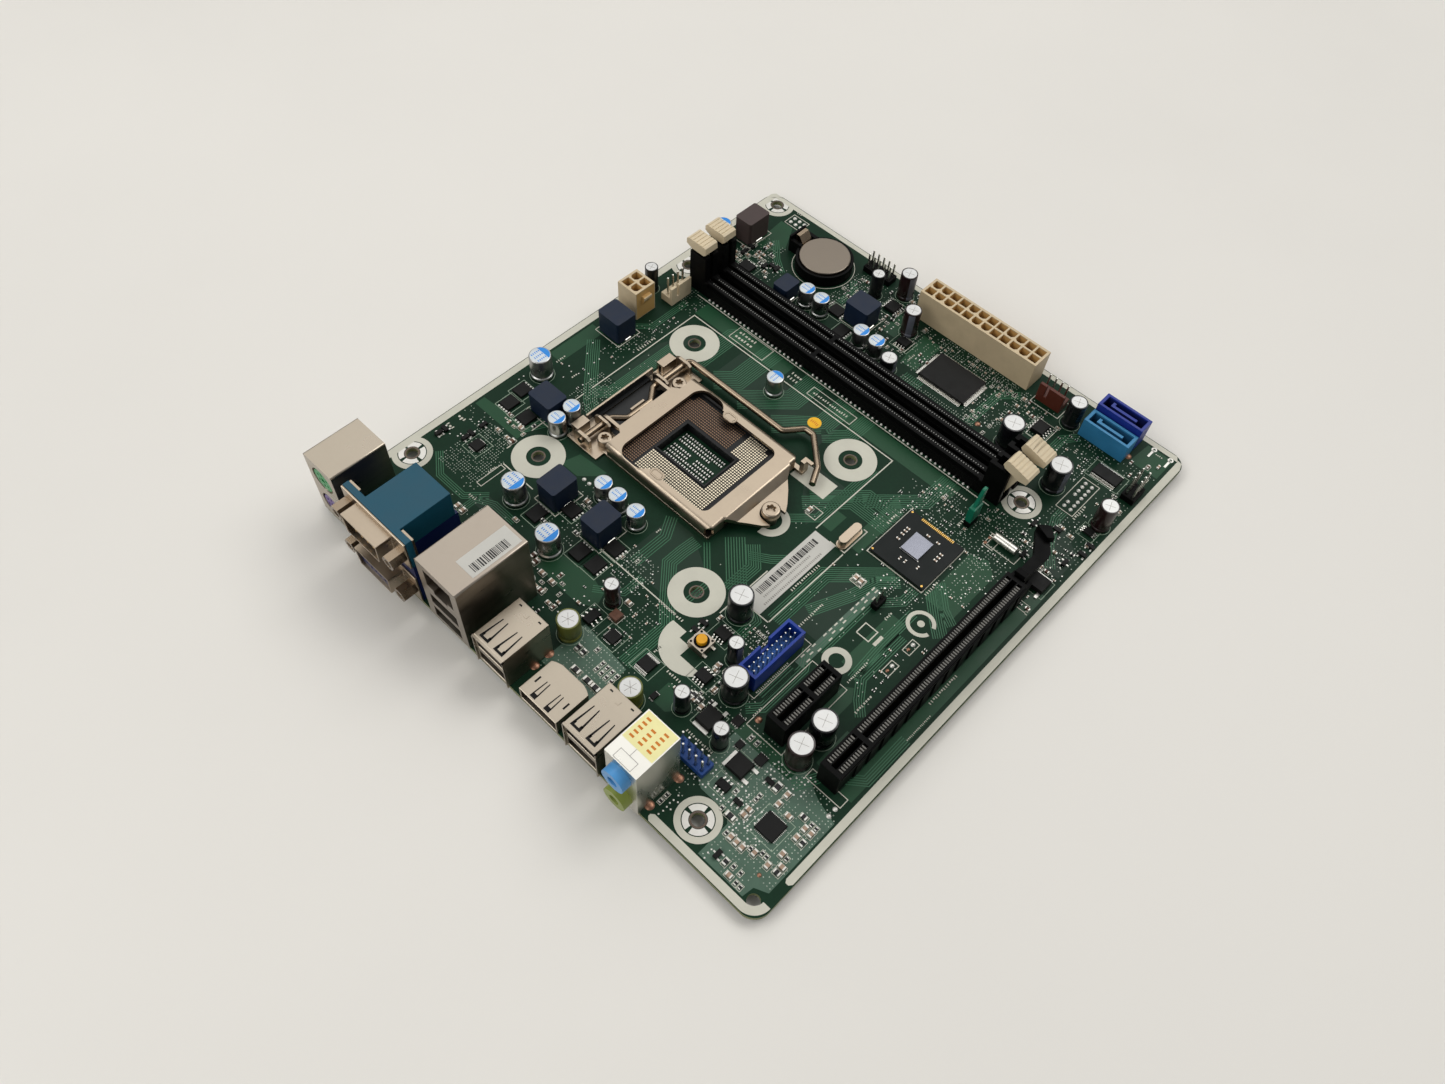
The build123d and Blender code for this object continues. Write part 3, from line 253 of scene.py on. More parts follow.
# The power headers' pockets get a darker, warmer tan as painted shade.
POWER_MAIN = pocket_shade_finish("power_moulding", "c3b08f", "c09a5e", "main_power_header", 0.35)
POWER_CPU = pocket_shade_finish("power_moulding_small", "c3b08f", "c09a5e", "cpu_power_header", 0.35)
FAN_BROWN = finish("brown_moulding", "54261a", 0.42, vary=0.1, grain=150, relief=0.2)
TEAL = finish("teal_moulding", "10495c", 0.42, vary=0.06, grain=120, relief=0.2)
NAVY = finish("navy_moulding", "0d1c4c", 0.42, vary=0.1, grain=120, relief=0.2)
ROYAL = finish("royal_moulding", "10338c", 0.4, vary=0.1, grain=120, relief=0.2)
ROYAL_LIGHT = finish("royal_inner", "2f62ad", 0.4, vary=0.08, grain=120, relief=0.15)
# The SATA ports' pockets get a darker blue as painted shade.
AZURE = pocket_shade_finish("azure_moulding", "2f7aa6", "1c5074", "sata_port_light", 0.7)
SATA_NAVY = pocket_shade_finish("sata_navy", "122a86", "0a1650", "sata_port_dark", 0.7)
HEADER_BLUE = finish("header_blue", "1a4385", 0.42, vary=0.1, grain=150, relief=0.2)
JACK_BLUE = finish("jack_blue", "4b8fc8", 0.36, vary=0.06, grain=150, relief=0.12, coat=0.2)
JACK_OLIVE = finish("jack_olive", "7f8c3c", 0.38, vary=0.06, grain=150, relief=0.12, coat=0.2)
JACK_GREEN = finish("jack_green", "1f8a4a", 0.38, vary=0.06, grain=150, relief=0.12)
JACK_PURPLE = finish("jack_purple", "563a80", 0.38, vary=0.06, grain=150, relief=0.12)
JUMPER = finish("jumper_green", "06684e", 0.34, vary=0.08, grain=150, relief=0.12, coat=0.2)
YELLOW = finish("yellow_moulding", "d99a12", 0.4, vary=0.06, grain=200, relief=0.12)
STICKER = finish("yellow_label", "e8b01e", 0.55, vary=0.05, grain=200, relief=0.2)
STICKER_INK = finish("label_ink", "c8761c", 0.55, vary=0.05, grain=200, relief=0.2)
PALE_LABEL = finish("pale_yellow_label", "e9e2a4", 0.5, vary=0.04, grain=200, relief=0.2)
PAPER = finish("paper_label", "bebcb5", 0.6, vary=0.03, grain=200, relief=0.25)
INK = finish("print_ink", "2c2b2a", 0.6, vary=0.1, grain=600, relief=0.1)
FAINT_INK = finish("faint_ink", "8d8a84", 0.6, vary=0.1, grain=600, relief=0.1)
INSERT = finish("port_moulding", "0d0d0e", 0.5, vary=0.2, grain=200, relief=0.2)
HOLE = finish("deep_shadow", "070707", 0.8, vary=0.3, grain=300, relief=0.0)
FILM = finish("insulating_film", "121415", 0.36, vary=0.15, grain=80, relief=0.1)
FLOOR = finish("pale_floor", "dddad4", 0.5, vary=0.015, grain=6, relief=0.0, spread=0.05)

# ---- Mesh pieces -----------------------------------------------------------------------------------
BOX_FACES = [(4, 5, 7, 6), (0, 1, 5, 4), (2, 6, 7, 3), (0, 4, 6, 2), (1, 3, 7, 5)]
BOX_BASE = (0, 2, 3, 1)
STRIPE_EDGE = 0.25                      # the printed stripe stops this far inside the board's edges


def polar(u, v, radius, degrees):
    """The point at a distance and direction from (u, v)."""
    angle = math.radians(degrees)
    return u + radius * math.cos(angle), v + radius * math.sin(angle)


def circle(u, v, radius, steps):
    return [polar(u, v, radius, 360 * i / steps) for i in range(steps)]


def wall(rings, steps):
    """The faces between rings of points, one above another."""
    pairs = [(k * steps, i, (i + 1) % steps) for k in range(rings - 1) for i in range(steps)]
    return [(low + i, low + j, low + steps + j, low + steps + i) for low, i, j in pairs]


def shifted(path, distance):
    """A path moved to its left, with mitred corners."""
    line = []
    for i, point in enumerate(path):
        before = (Vector(path[i]) - Vector(path[i - 1])).normalized() if i else None
        after = (Vector(path[i + 1]) - Vector(path[i])).normalized() if i < len(path) - 1 else None
        first, second = before or after, after or before
        middle = (first + second).normalized()
        side = Vector((-middle.y, middle.x))
        reach = distance / max(0.3, side.dot(Vector((-first.y, first.x))))
        line.append((point[0] + side.x * reach, point[1] + side.y * reach))
    return line


class Piece:
    """Gathers faces in board millimetres, then becomes one object that rides on a body."""

    def __init__(self, name, materials, body="board"):
        self.name = name
        self.materials = materials
        self.body = body
        self.points = []
        self.faces = []
        self.slots = []

    def add(self, points, faces, slot=0):
        """Adds faces of one slot, or with a list of slots."""
        start = len(self.points)
        self.points.extend(points)
        self.faces.extend([start + i for i in face] for face in faces)
        self.slots.extend(slot if isinstance(slot, list) else [slot] * len(faces))

    def box(self, u, v, z, slot=0, base=False):
        """A box between two limits in each direction, open below unless it has a base."""
        self.add([(a, b, c) for c in z for b in v for a in u], BOX_FACES + [BOX_BASE] * base, slot)

    def block(self, u, v, z, size, slot=0, turn=0.0):
        """A box centred on u and v that stands on z, turned about its middle."""
        c, s = math.cos(math.radians(turn)), math.sin(math.radians(turn))
        half_u, half_v = size[0] / 2, size[1] / 2
        corners = [(i, j, k) for k in (0, size[2]) for j in (-half_v, half_v) for i in (-half_u, half_u)]
        self.add([(u + i * c - j * s, v + i * s + j * c, z + k) for i, j, k in corners], BOX_FACES, slot)

    def sheet(self, outline, z, slot=0):
        self.add([(u, v, z) for u, v in outline], [tuple(range(len(outline)))], slot)

    def rect(self, u, v, z, slot=0):
        self.sheet([(u[0], v[0]), (u[1], v[0]), (u[1], v[1]), (u[0], v[1])], z, slot)

    def prism(self, outline, z, slot=0):
        """Upright walls and a top face on an outline that runs anticlockwise."""
        self.add([(u, v, level) for level in z for u, v in outline], wall(2, len(outline)), slot)
        self.sheet(outline, z[1], slot)

    def ring(self, u, v, inner, outer, z, slot=0, start=0.0, end=360.0, steps=48):
        """A flat ring or arc facing up, cut off at the board's edges."""
        points = []
        for i in range(steps + 1):
            for radius in (inner, outer):
                a, b = polar(u, v, radius, start + (end - start) * i / steps)
                points.append((max(STRIPE_EDGE, a), min(BOARD_V - STRIPE_EDGE, b), z))
        self.add(points, [(2 * i, 2 * i + 1, 2 * i + 3, 2 * i + 2) for i in range(steps)], slot)

    def disc(self, u, v, radius, z, slot=0, steps=24):
        self.sheet(circle(u, v, radius, steps), z, slot)

    def dome(self, u, v, radius, height, z=0.0, slot=0, steps=8):
        """A small mound of solder."""
        profile = [(radius, z), (radius * 0.72, z + height * 0.7), (radius * 0.3, z + height)]
        self.lathe(u, v, profile, [slot] * 3, steps)

    def lathe(self, u, v, profile, slots, steps=32):
        """A turned shape: profile is (radius, z) from the foot up. Each band and then the lid has a slot,
        or a function that gives the slot at each step round."""
        rings = len(profile)
        points = [(a, b, z) for radius, z in profile for a, b in circle(u, v, radius, steps)]
        bands = [slot(i) if callable(slot) else slot for slot in slots[:-1] for i in range(steps)]
        lid = tuple((rings - 1) * steps + i for i in range(steps))
        self.add(points, wall(rings, steps) + [lid], bands + [slots[-1]])

    def stroke(self, path, width, z, slot=0):
        """A flat line of constant width along a path, mitred at its corners."""
        n = len(path)
        self.add([(u, v, z) for side in (-1, 1) for u, v in shifted(path, side * width / 2)],
                 [(i, i + 1, n + i + 1, n + i) for i in range(n - 1)], slot)

    def outline(self, u, v, width, z, slot=0):
        """A thin rectangular frame."""
        self.stroke([(u[0], v[0]), (u[1], v[0]), (u[1], v[1]), (u[0], v[1]), (u[0], v[0])], width, z, slot)

    def done(self, smooth=None, bevel=None, slot=None, replaces=()):
        mesh = bpy.data.meshes.new(self.name)
        mesh.from_pydata([place(*point) for point in self.points], [], self.faces)
        for material in self.materials:
            mesh.materials.append(material)
        mesh.polygons.foreach_set("material_index", self.slots)
        mesh.update()
        piece = bpy.data.objects.new(self.name, mesh)
        bpy.context.scene.collection.objects.link(piece)
        if smooth:
            mesh.polygons.foreach_set("use_smooth", [True] * len(mesh.polygons))
            mesh.set_sharp_from_angle(angle=math.radians(smooth))
        if bevel:
            soften(piece, bevel)
        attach(piece, self.body)
        if replaces:
            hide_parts(*replaces)


def soften(piece, width, weld=False):
    """Rounds a piece's sharp edges."""
    if weld:
        modifier = piece.modifiers.new("weld", "WELD")
        modifier.merge_threshold = 0.000004
    modifier = piece.modifiers.new("bevel", "BEVEL")
    modifier.width = width / 1000
    modifier.segments = 2
    modifier.limit_method = "ANGLE"
    modifier.angle_limit = math.radians(38)
    modifier.harden_normals = False


def paint(material, bevel, *nodes):
    """Gives CAD nodes their finish, and rounds their edges by a bevel in millimetres."""
    for node in nodes:
        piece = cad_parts[node]
        if piece.material_slots:
            for entry in piece.material_slots:
                entry.material = material
        else:
            piece.data.materials.append(material)
        if bevel:
            soften(piece, bevel, weld=True)


# ---- Where things are on the board -----------------------------------------------------------------
BOARD_U, BOARD_V = 195, 221
DIMM_V = {"a": 160.9, "b": 170.7}
PCIE_U = {"x16": 182.6, "x1": 162.28}
DIMM_TAIL_U, DIMM_TAILS = 25.3, 62      # the first solder tail beside a memory slot, and how many there are
SLOT_KEY_V = 56.5                       # the bar that crosses both expansion slots
PORT_TOP, DISPLAY_TOP, AUDIO_TOP = 15.63, 7.23, 26.43   # just above the rear shells' tops
# Round and oblong parts: centre, radius or size, height, and for some a tint, a turn or a count of leads.
STANDOFFS = [(163.83, 10.16), (6.35, 33.02), (6.35, 165.1), (163.83, 165.1), (6.35, 215.9)]
SOCKET_U, SOCKET_V, COOLER_HALF = 74.3, 99.8, 37.5
COOLERS = [(SOCKET_U + i * COOLER_HALF, SOCKET_V + j * COOLER_HALF) for i in (-1, 1) for j in (-1, 1)]
POLYMERS = [(9.9, 87.5, 4.0, 10.0), (45.0, 45.6, 4.0, 10.0), (67.8, 40.1, 4.0, 10.0)]
POLYMERS += [(u, v, 3.15, 8.0) for u, v in (
    (33.3, 81.1), (33.6, 74.1), (64.6, 66.8), (71.4, 66.8), (80.1, 66.5), (72.7, 141.0), (51.4, 182.2),
    (58.4, 182.2), (79.2, 180.5), (86.4, 180.5), (4.8, 185.4))]
SLEEVED = [(5.7, 145.7, 2.5, 11.0, 0), (66.7, 204.9, 2.5, 11.0, 0), (93.9, 179.0, 3.15, 6.0, 0),
           (136.6, 53.5, 2.5, 11.0, 0), (136.6, 30.9, 2.5, 11.0, 0), (152.4, 30.6, 2.5, 11.0, 0),
           (96.1, 41.2, 2.5, 11.0, 1), (75.0, 213.0, 3.15, 11.5, 1), (87.9, 199.0, 3.15, 11.5, 1),
           (155.7, 206.0, 3.15, 11.5, 0), (187.9, 176.0, 3.15, 11.5, 1), (145.2, 182.0, 4.0, 11.5, 0),
           (167.0, 178.6, 4.0, 11.5, 0), (126.7, 66.2, 4.0, 11.5, 0), (144.4, 45.0, 4.0, 11.5, 0),
           (171.7, 53.0, 4.0, 11.5, 0), (171.6, 43.0, 4.0, 11.5, 1), (95.0, 24.4, 3.7, 9.0, 2),
           (124.4, 22.0, 3.7, 9.0, 2)]
CHOKES = [(12.9, 121.3, 10.8, 9.1, 9.5), (24.4, 78.1, 10.8, 8.6, 8.5), (54.2, 56.0, 8.7, 10.6, 9.4),
          (74.7, 56.4, 8.7, 10.6, 9.4), (71.5, 190.8, 10.5, 9.0, 9.0), (42.9, 180.2, 6.8, 8.2, 6.3),
          (11.2, 195.2, 8.2, 11.2, 10.2)]
POWER_CHIPS = [(11.0, 77.4, 5.2, 5.6, 90), (12.4, 70.5, 5.2, 5.8, 270), (21.5, 70.3, 5.2, 5.8, 270),
               (61.5, 55.2, 5.6, 5.2, 0), (82.2, 55.0, 5.6, 5.2, 0), (54.6, 46.2, 5.2, 6.2, 90),
               (75.5, 46.2, 5.2, 6.2, 90), (82.5, 46.4, 5.2, 6.2, 0), (62.5, 187.7, 5.6, 5.2, 0),
               (70.4, 181.0, 5.0, 5.8, 0)]
TAB_CHIPS = [(145.0, 34.0, 6.0, 6.6, 90), (161.4, 29.5, 6.4, 6.2, 0), (186.6, 142.0, 6.2, 6.0, 270)]
FLAT_CHIPS = [(179.6, 22.8, 6.8, 6.8, 0.9), (105.2, 32.7, 4.4, 4.4, 0.9), (19.1, 50.6, 4.4, 4.4, 0.9)]
LEADED = [(119.2, 33.6, 5.2, 4.4, 1.0, 12, "v"), (178.2, 195.4, 10.0, 5.2, 1.2, 24, "v"),
          (128.3, 57.2, 5.0, 4.0, 1.5, 4, "v"), (134.2, 42.7, 5.0, 4.0, 1.5, 4, "v"),
          (149.9, 195.8, 5.0, 6.0, 1.8, 4, "u"), (90.3, 193.2, 5.0, 3.9, 1.5, 4, "v"),
          (95.6, 32.8, 3.4, 5.4, 1.2, 3, "u"), (162.0, 22.2, 4.4, 2.8, 1.2, 3, "v"),
          (22.8, 180.5, 6.0, 4.6, 1.2, 4, "v"), (76.0, 204.5, 5.0, 5.4, 1.4, 4, "u"),
          (186.8, 171.0, 3.2, 3.0, 1.0, 3, "u")]

# Every place that the small parts, holes and pads keep clear of, as (u0, u1, v0, v1).
taken = [(u - r, u + r, v - r, v + r) for u, v, r, *_ in POLYMERS + SLEEVED]
taken += [(u - a / 2, u + a / 2, v - b / 2, v + b / 2) for u, v, a, b, *_ in
          CHOKES + POWER_CHIPS + TAB_CHIPS + FLAT_CHIPS + LEADED]
taken += [(u - 7.2, u + 7.2, v - 7.2, v + 7.2) for u, v in STANDOFFS]
taken += [(u - 9.4, u + 9.4, v - 9.4, v + 9.4) for u, v in COOLERS]
for big in ("ps2_shell", "serial_housing", "lan_usb_shell", "displayport_shell", "audio_jack_shell",
            "dimm_slot_a", "dimm_slot_b", "pcie_x16_slot", "pcie_x1_slot", "main_power_header",
            "cpu_power_header", "cpu_fan_header", "chassis_fan_header", "audio_header", "usb3_header",
            "sata_port_light", "sata_port_dark", "reset_switch_body", "battery_holder", "chipset_package",
            "super_io_chip", "ilm_frame", "load_plate", "jumper_cap"):
    taken.append(node_box(big)[:4])
taken += [(82.4, 96.2, -1, 17.4), (121.3, 135.0, -1, 17.4), (54.5, 68.0, 211.6, 217.4),
          (185.8, 191.4, 190, 199), (0, 3.6, 0, BOARD_V), (191.4, BOARD_U, 0, BOARD_V),
          (0, BOARD_U, 218.2, BOARD_V), (0, BOARD_U, 0, 3.2), (122.4, 131.6, 70, 107),
          (112.8, 133.4, 37, 52.4), (101, 116.5, 117.5, 126), (186, 194, 0.5, 9), (129, 134.5, 107, 119),
          (165.5, 175.5, 144, 148.5), (15.3, 23.0, 210.6, 216.4), (172.4, 179.6, 172.2, 189.6),
          (164, 174, 98.5, 109.5), (153, 164, 69.5, 81), (149.4, 153.6, 67, 104.6), (20, 158, 155.6, 158)]


def is_free(u, v, margin):
    return all(u < a - margin or u > b + margin or v < c - margin or v > d + margin for a, b, c, d in taken)


# ---- The board's printed face ----------------------------------------------------------------------
paint(MASK, None, "pcb")
layer = {"pour": 0.008, "trace": 0.014, "pad": 0.022, "silk": 0.030}

pours = Piece("board_copper_areas", [POUR, POUR_DARK, MESHED])
TONE_Z = [layer["pour"], layer["pour"] - 0.003, layer["pour"] - 0.004]
for tone, u, v in (
        (2, (150, 153), (66, 104)), (0, (4, 10), (96, 117)), (0, (176, 178.6), (46, 60)),
        (0, (150, 174), (36.5, 41)), (0, (80, 86), (193, 204)), (0, (26, 70), (148.5, 155.2)),
        (0, (94, 146), (148.5, 155.2)), (0, (160, 166), (76, 100)), (0, (122.6, 126.5), (110, 118))):
    pours.rect(u, v, TONE_Z[tone], tone)
for tone, points in (
        (2, [(170.4, 3.4), (187, 3.4), (187.6, 7.2), (191.6, 9), (191.6, 36), (184, 38), (176, 42), (168, 40),
             (153, 38), (153, 20), (158, 17.2), (168, 17.2), (170.4, 15)]),
        (2, [(96, 12), (116, 12), (116, 28), (96, 30)]), (0, [(4, 62), (26, 62), (26, 68), (4, 66)]),
        (0, [(15.6, 193), (22, 193), (26, 199), (20, 210), (14, 210)]),
        (0, [(66, 33), (88, 33), (94, 36), (92, 41), (82, 44), (66, 40)]),
        (0, [(44, 66), (52, 66), (58, 72), (58, 74), (46, 73)]),
        (0, [(165.8, 60), (171, 60), (171, 68), (168.5, 72), (165.8, 70)]),
        (0, [(186.6, 44), (191, 44), (191, 140), (187, 140)]),
        (0, [(133, 110), (138.6, 110), (138.6, 133), (133, 137)]),
        (0, [(95, 185.5), (101.6, 185.5), (101.6, 202), (93, 202)]),
        (0, [(164, 112), (175, 112), (175, 134), (170, 138), (164, 136)]),
        (0, [(128, 26.5), (134, 26.5), (137, 30), (134, 36), (128, 34)]),
        (0, [(180, 207), (191, 207), (191, 217.8), (181, 217.8)]),
        (1, [(86, 54), (104, 54), (108, 70), (96, 77), (86, 77)]),
        (1, [(28, 104), (35.5, 104), (35.5, 146.5), (28, 128)]),
        (1, [(52, 128.5), (100, 134), (100, 146.5), (52, 146.5)]),
        (1, [(35, 34.5), (50, 34.5), (50, 39), (38, 40)]), (1, [(139, 76), (150, 76), (150, 96), (139, 104)]),
        (1, [(101, 127), (119, 127), (119, 106), (112, 112)]),
        (1, [(176, 148.5), (190, 148.5), (190, 160), (178, 168)])):
    pours.sheet(points, TONE_Z[tone], tone)
pours.done(slot="board_green")

traces = Piece("board_traces", [TRACE])
TRACE_WIDTH = 0.3
# Bundles of parallel traces: the path at their middle, how many there are, and their pitch.
for path, count, pitch in (
        ([(44, 128), (44, 150), (48, 155.5)], 9, 0.825),
        ([(54, 129.5), (60, 135.5), (60, 155.5)], 11, 0.825),
        ([(66, 129), (80, 143), (80, 155.5)], 12, 0.75), ([(82, 129.5), (95, 142), (95, 155.5)], 11, 0.75),
        ([(98, 138), (105, 145), (105, 155.5)], 8, 0.75), ([(28.5, 95), (33, 99.5), (33, 130)], 8, 0.675),
        ([(10, 112), (24, 98), (30, 92), (36, 88)], 7, 0.75), ([(28, 88), (28, 74), (24, 66)], 5, 0.75),
        ([(106, 86), (112, 80), (119, 73)], 8, 0.9), ([(101, 78), (112, 67), (112, 54)], 3, 0.9),
        ([(98.5, 76), (98, 70), (98, 64), (108, 53), (114, 47), (114, 29)], 7, 0.75),
        ([(112, 88), (118, 82), (118, 70)], 7, 0.75), ([(113, 104), (120, 111), (120, 140)], 5, 0.75),
        ([(112, 112), (124, 124), (139, 124)], 7, 0.825), ([(112, 116), (126, 130), (139, 130)], 7, 0.75),
        ([(126, 127), (134, 135), (141, 142), (141, 155)], 8, 0.75),
        ([(122.5, 74), (132, 68), (132, 58)], 5, 0.75),
        ([(152, 112), (145, 105), (140, 100), (136, 96), (136, 72)], 8, 0.75),
        ([(155, 111), (150, 106), (147, 96), (141, 82)], 7, 0.675),
        ([(160, 112), (160, 106), (153, 98), (153, 74)], 5, 0.75),
        ([(164, 116), (172, 108), (176.5, 104)], 7, 0.75), ([(164, 120), (171, 113), (176.5, 110)], 5, 0.75),
        ([(165, 105), (165, 90), (166, 74)], 5, 0.75),
        ([(168, 96), (168, 76), (172, 70), (176, 66)], 5, 0.75),
        ([(150, 72), (153.5, 66), (153.5, 48), (150, 44)], 5, 0.75), ([(150.6, 64), (150.6, 50)], 4, 0.9),
        ([(36, 20), (36, 36), (42, 39), (52, 39)], 4, 0.75),
        ([(38, 40), (32, 34), (20, 34), (12, 40)], 4, 0.75), ([(14, 126), (20, 132), (20, 150)], 4, 0.75),
        ([(134, 158.5), (140, 164)], 3, 0.75), ([(186, 150), (180, 158), (176, 168), (176, 172)], 5, 0.75),
        ([(158, 186), (158, 198), (162, 203)], 5, 0.75), ([(130, 180), (130, 198), (136, 204)], 5, 0.75),
        ([(104, 178), (104, 183)], 9, 0.9), ([(176, 36), (180, 44), (190, 52), (190, 70)], 5, 0.75),
        ([(88, 40), (96, 46), (96, 54)], 4, 0.75), ([(56, 205), (60, 201), (60, 192)], 4, 0.75),
        ([(20, 200), (28, 192), (34, 188)], 4, 0.75), ([(128, 96), (120, 88), (114, 84)], 5, 0.75),
        ([(86, 77), (90, 70), (90, 56)], 5, 0.9)):
    for k in range(count):
        traces.stroke(shifted(path, (k - (count - 1) / 2) * pitch), TRACE_WIDTH, layer["trace"])
traces.done(slot="board_green")

silk = Piece("board_legend", [SILK, LEGEND])
top = layer["silk"]
silk.sheet([(0.25, 6), (3.0, 6), (3.0, 219), (0.25, 216)], top)
silk.sheet([(3.0, 218.6), (192.4, 218.6), (191, 220.75), (5.6, 220.75), (3.0, 219.6)], top)
silk.sheet([(0.25, 216), (3.0, 218.6), (3.0, 219.6), (1.9, 219.2), (0.8, 217.8)], top)
silk.sheet([(192.3, 15.2), (192.9, 14.2), (193.9, 14.2), (194.7, 15.2), (194.75, 216), (193.8, 219),
            (192.2, 219.4), (192.2, 217)], top)
silk.sheet([(153.2, 1.2), (154.2, 0.25), (188.6, 0.25), (188.6, 2.8), (154.2, 2.8), (153.2, 2.0)], top)
silk.ring(188.6, 6.3, 3.5, 6.05, top, start=-90, end=0, steps=16)
OVER = top + 0.006                      # rings that lie over the border stripe
for u, v in STANDOFFS:
    silk.ring(u, v, 4.9, 6.9, OVER, steps=64)
for u, v in COOLERS:
    silk.ring(u, v, 4.15, 9.2, OVER, steps=72)
for path in ([(26.8, 68), (26.8, 92)], [(26.8, 96), (26.8, 147.4), (122.2, 147.4), (122.2, 107.5)],
             [(26.8, 57), (26.8, 60)], [(31, 51.9), (46, 51.9)], [(79, 51.9), (113, 51.9)],
             [(122.2, 84), (122.2, 62)], [(20, 156), (157, 156)], [(139.6, 137), (139.6, 112.8), (162, 112.8),
             (162, 136)], [(128.8, 106.8), (135, 106.8), (135, 118.4), (133.6, 118.4)],
             [(135.1, 70.5), (135.1, 106)], [(122.4, 70.2), (135, 70.2)]):
    silk.stroke(path, 0.42, top)
silk.rect((101.4, 116.1), (117.9, 125.6), top)
silk.ring(109.6, 99.2, 3.8, 6.5, top, start=-90, end=90)
arc = [polar(124.4, 48.1, 10.7, a) for a in range(170, 318, 6)]
silk.sheet(arc + [(131.4, 42.8), (124.0, 42.8), (124.0, 47.0), (119.6, 47.0), (119.6, 50.0)], top)
for parts, gap, width, tone in ((CHOKES, 0.8, 0.3, 0), (POWER_CHIPS + TAB_CHIPS, 0.9, 0.22, 1),
                                (LEADED + FLAT_CHIPS, 1.5, 0.18, 1)):
    for u, v, a, b, *_ in parts:
        a, b = a / 2 + gap, b / 2 + gap
        silk.outline((u - a, u + a), (v - b, v + b), width, top, tone)
for u, v, r, *_ in POLYMERS + SLEEVED:
    silk.ring(u, v, r + 0.4, r + 0.56, top, 1, steps=40)
silk.ring(42.8, 202.5, 12.1, 12.4, top, steps=72)
for u, v in (((164.6, 168.2), (142, 147.4)), ((165.5, 176.6), (142.8, 148.8)), ((15.2, 23), (210.6, 216.6)),
             ((172.7, 179.3), (172.5, 189.3)), ((43, 59.6), (149, 155.4)), ((81.4, 101.4), (149, 153.2)),
             ((170.6, 173.4), (92.4, 97.6)), ((170.6, 173.4), (82.2, 87.4)), ((142.8, 147.2), (100.2, 103.6)),
             ((139.6, 151.4), (204.6, 213.2)), ((147.2, 154.4), (191, 200.2)), ((176.6, 189.8), (40.6, 44)),
             ((139.4, 149.6), (48.2, 74)), ((153.6, 167.4), (40.6, 70)), ((87.8, 93.2), (190, 196.6)),
             ((181.6, 189.6), (130.4, 133.4)), ((30.9, 33.1), (40.6, 51)), ((115.6, 119.8), (109.6, 113.8))):
    silk.outline(u, v, 0.26, top)
# Plain marks stand where the real board has names, numbers and symbols.
silk.ring(158.8, 75.3, 2.6, 4.7, top)
silk.ring(169.0, 103.8, 3.5, 4.8, top, start=20, end=340)
silk.disc(169.0, 103.8, 1.2, top)
silk.outline((156.6, 161.4), (87.2, 91.8), 0.4, top)
silk.rect((162.8, 164.0), (87.4, 91.6), top)
for i in range(14):
    low = 68.4 + i * 2.6
    if i not in (3, 8):
        for side in (150.1, 151.4) if i % 2 else (150.1, 152.4):
            silk.rect((side, side + 0.5), (low, low + 1.5), top)


def ticks(u, v, count, size, along):
    """A row of short plain dashes, where a part's reference is printed."""
    for i in range(count):
        at = i * 0.9 * size
        a, b = (u + at, v) if along == "u" else (u, v + at)
        w, h = (0.32 * size, 0.8 * size) if along == "u" else (0.8 * size, 0.32 * size)
        if RNG.random() < 0.4:
            w, h = 0.55 * size, 0.55 * size
        silk.rect((a, a + w), (b, b + h), top)


for u, v, count, size, along in (
        (24.4, 120, 8, 1.3, "v"), (106, 51.3, 10, 1.2, "u"), (132, 84, 14, 1.1, "v"),
        (142.4, 76, 13, 1.0, "v"), (187.4, 84, 14, 1.1, "v"), (190.2, 70, 18, 0.7, "v"),
        (165.6, 72, 12, 0.9, "v"), (173.6, 66, 8, 1.1, "v"), (159.8, 97, 4, 1.0, "v"),
        (163, 113, 7, 1.1, "v"), (137, 126, 5, 1.2, "v"), (179.8, 172, 7, 1.2, "v"),
        (83, 150.6, 15, 1.2, "u"), (44.5, 153, 6, 1.6, "u"), (44.5, 150.6, 6, 1.6, "u"),
        (71.4, 149.6, 4, 1.4, "u"), (71.4, 152, 4, 1.4, "u"), (142, 152, 9, 1.1, "u"),
        (154, 142, 4, 1.2, "v"), (164, 196, 3, 1.0, "v"), (125, 36, 6, 1.1, "u"),
        (142.6, 26.6, 12, 1.0, "u"), (148.6, 50, 20, 0.8, "v"), (176, 31, 3, 0.8, "v"),
        (8.6, 95, 5, 1.0, "v"), (4.4, 44, 3, 1.4, "u"), (4.4, 49, 3, 1.4, "u"), (4.4, 54, 3, 1.4, "u"),
        (15.2, 218, 3, 1.0, "u"), (30, 46, 4, 1.0, "v"), (16, 65, 4, 1.0, "u"), (96.4, 188, 5, 0.9, "v"),
        (185, 216, 4, 0.8, "u"), (60.6, 199, 5, 0.8, "v"), (117.4, 38, 4, 0.9, "v"), (18, 94, 3, 1.0, "v"),
        (33, 35.4, 4, 1.0, "u"), (153, 44, 5, 0.9, "v"), (86.6, 69, 3, 0.9, "v"), (189.8, 130, 3, 1.1, "v")):
    ticks(u, v, count, size, along)
silk.done(slot="board_green")

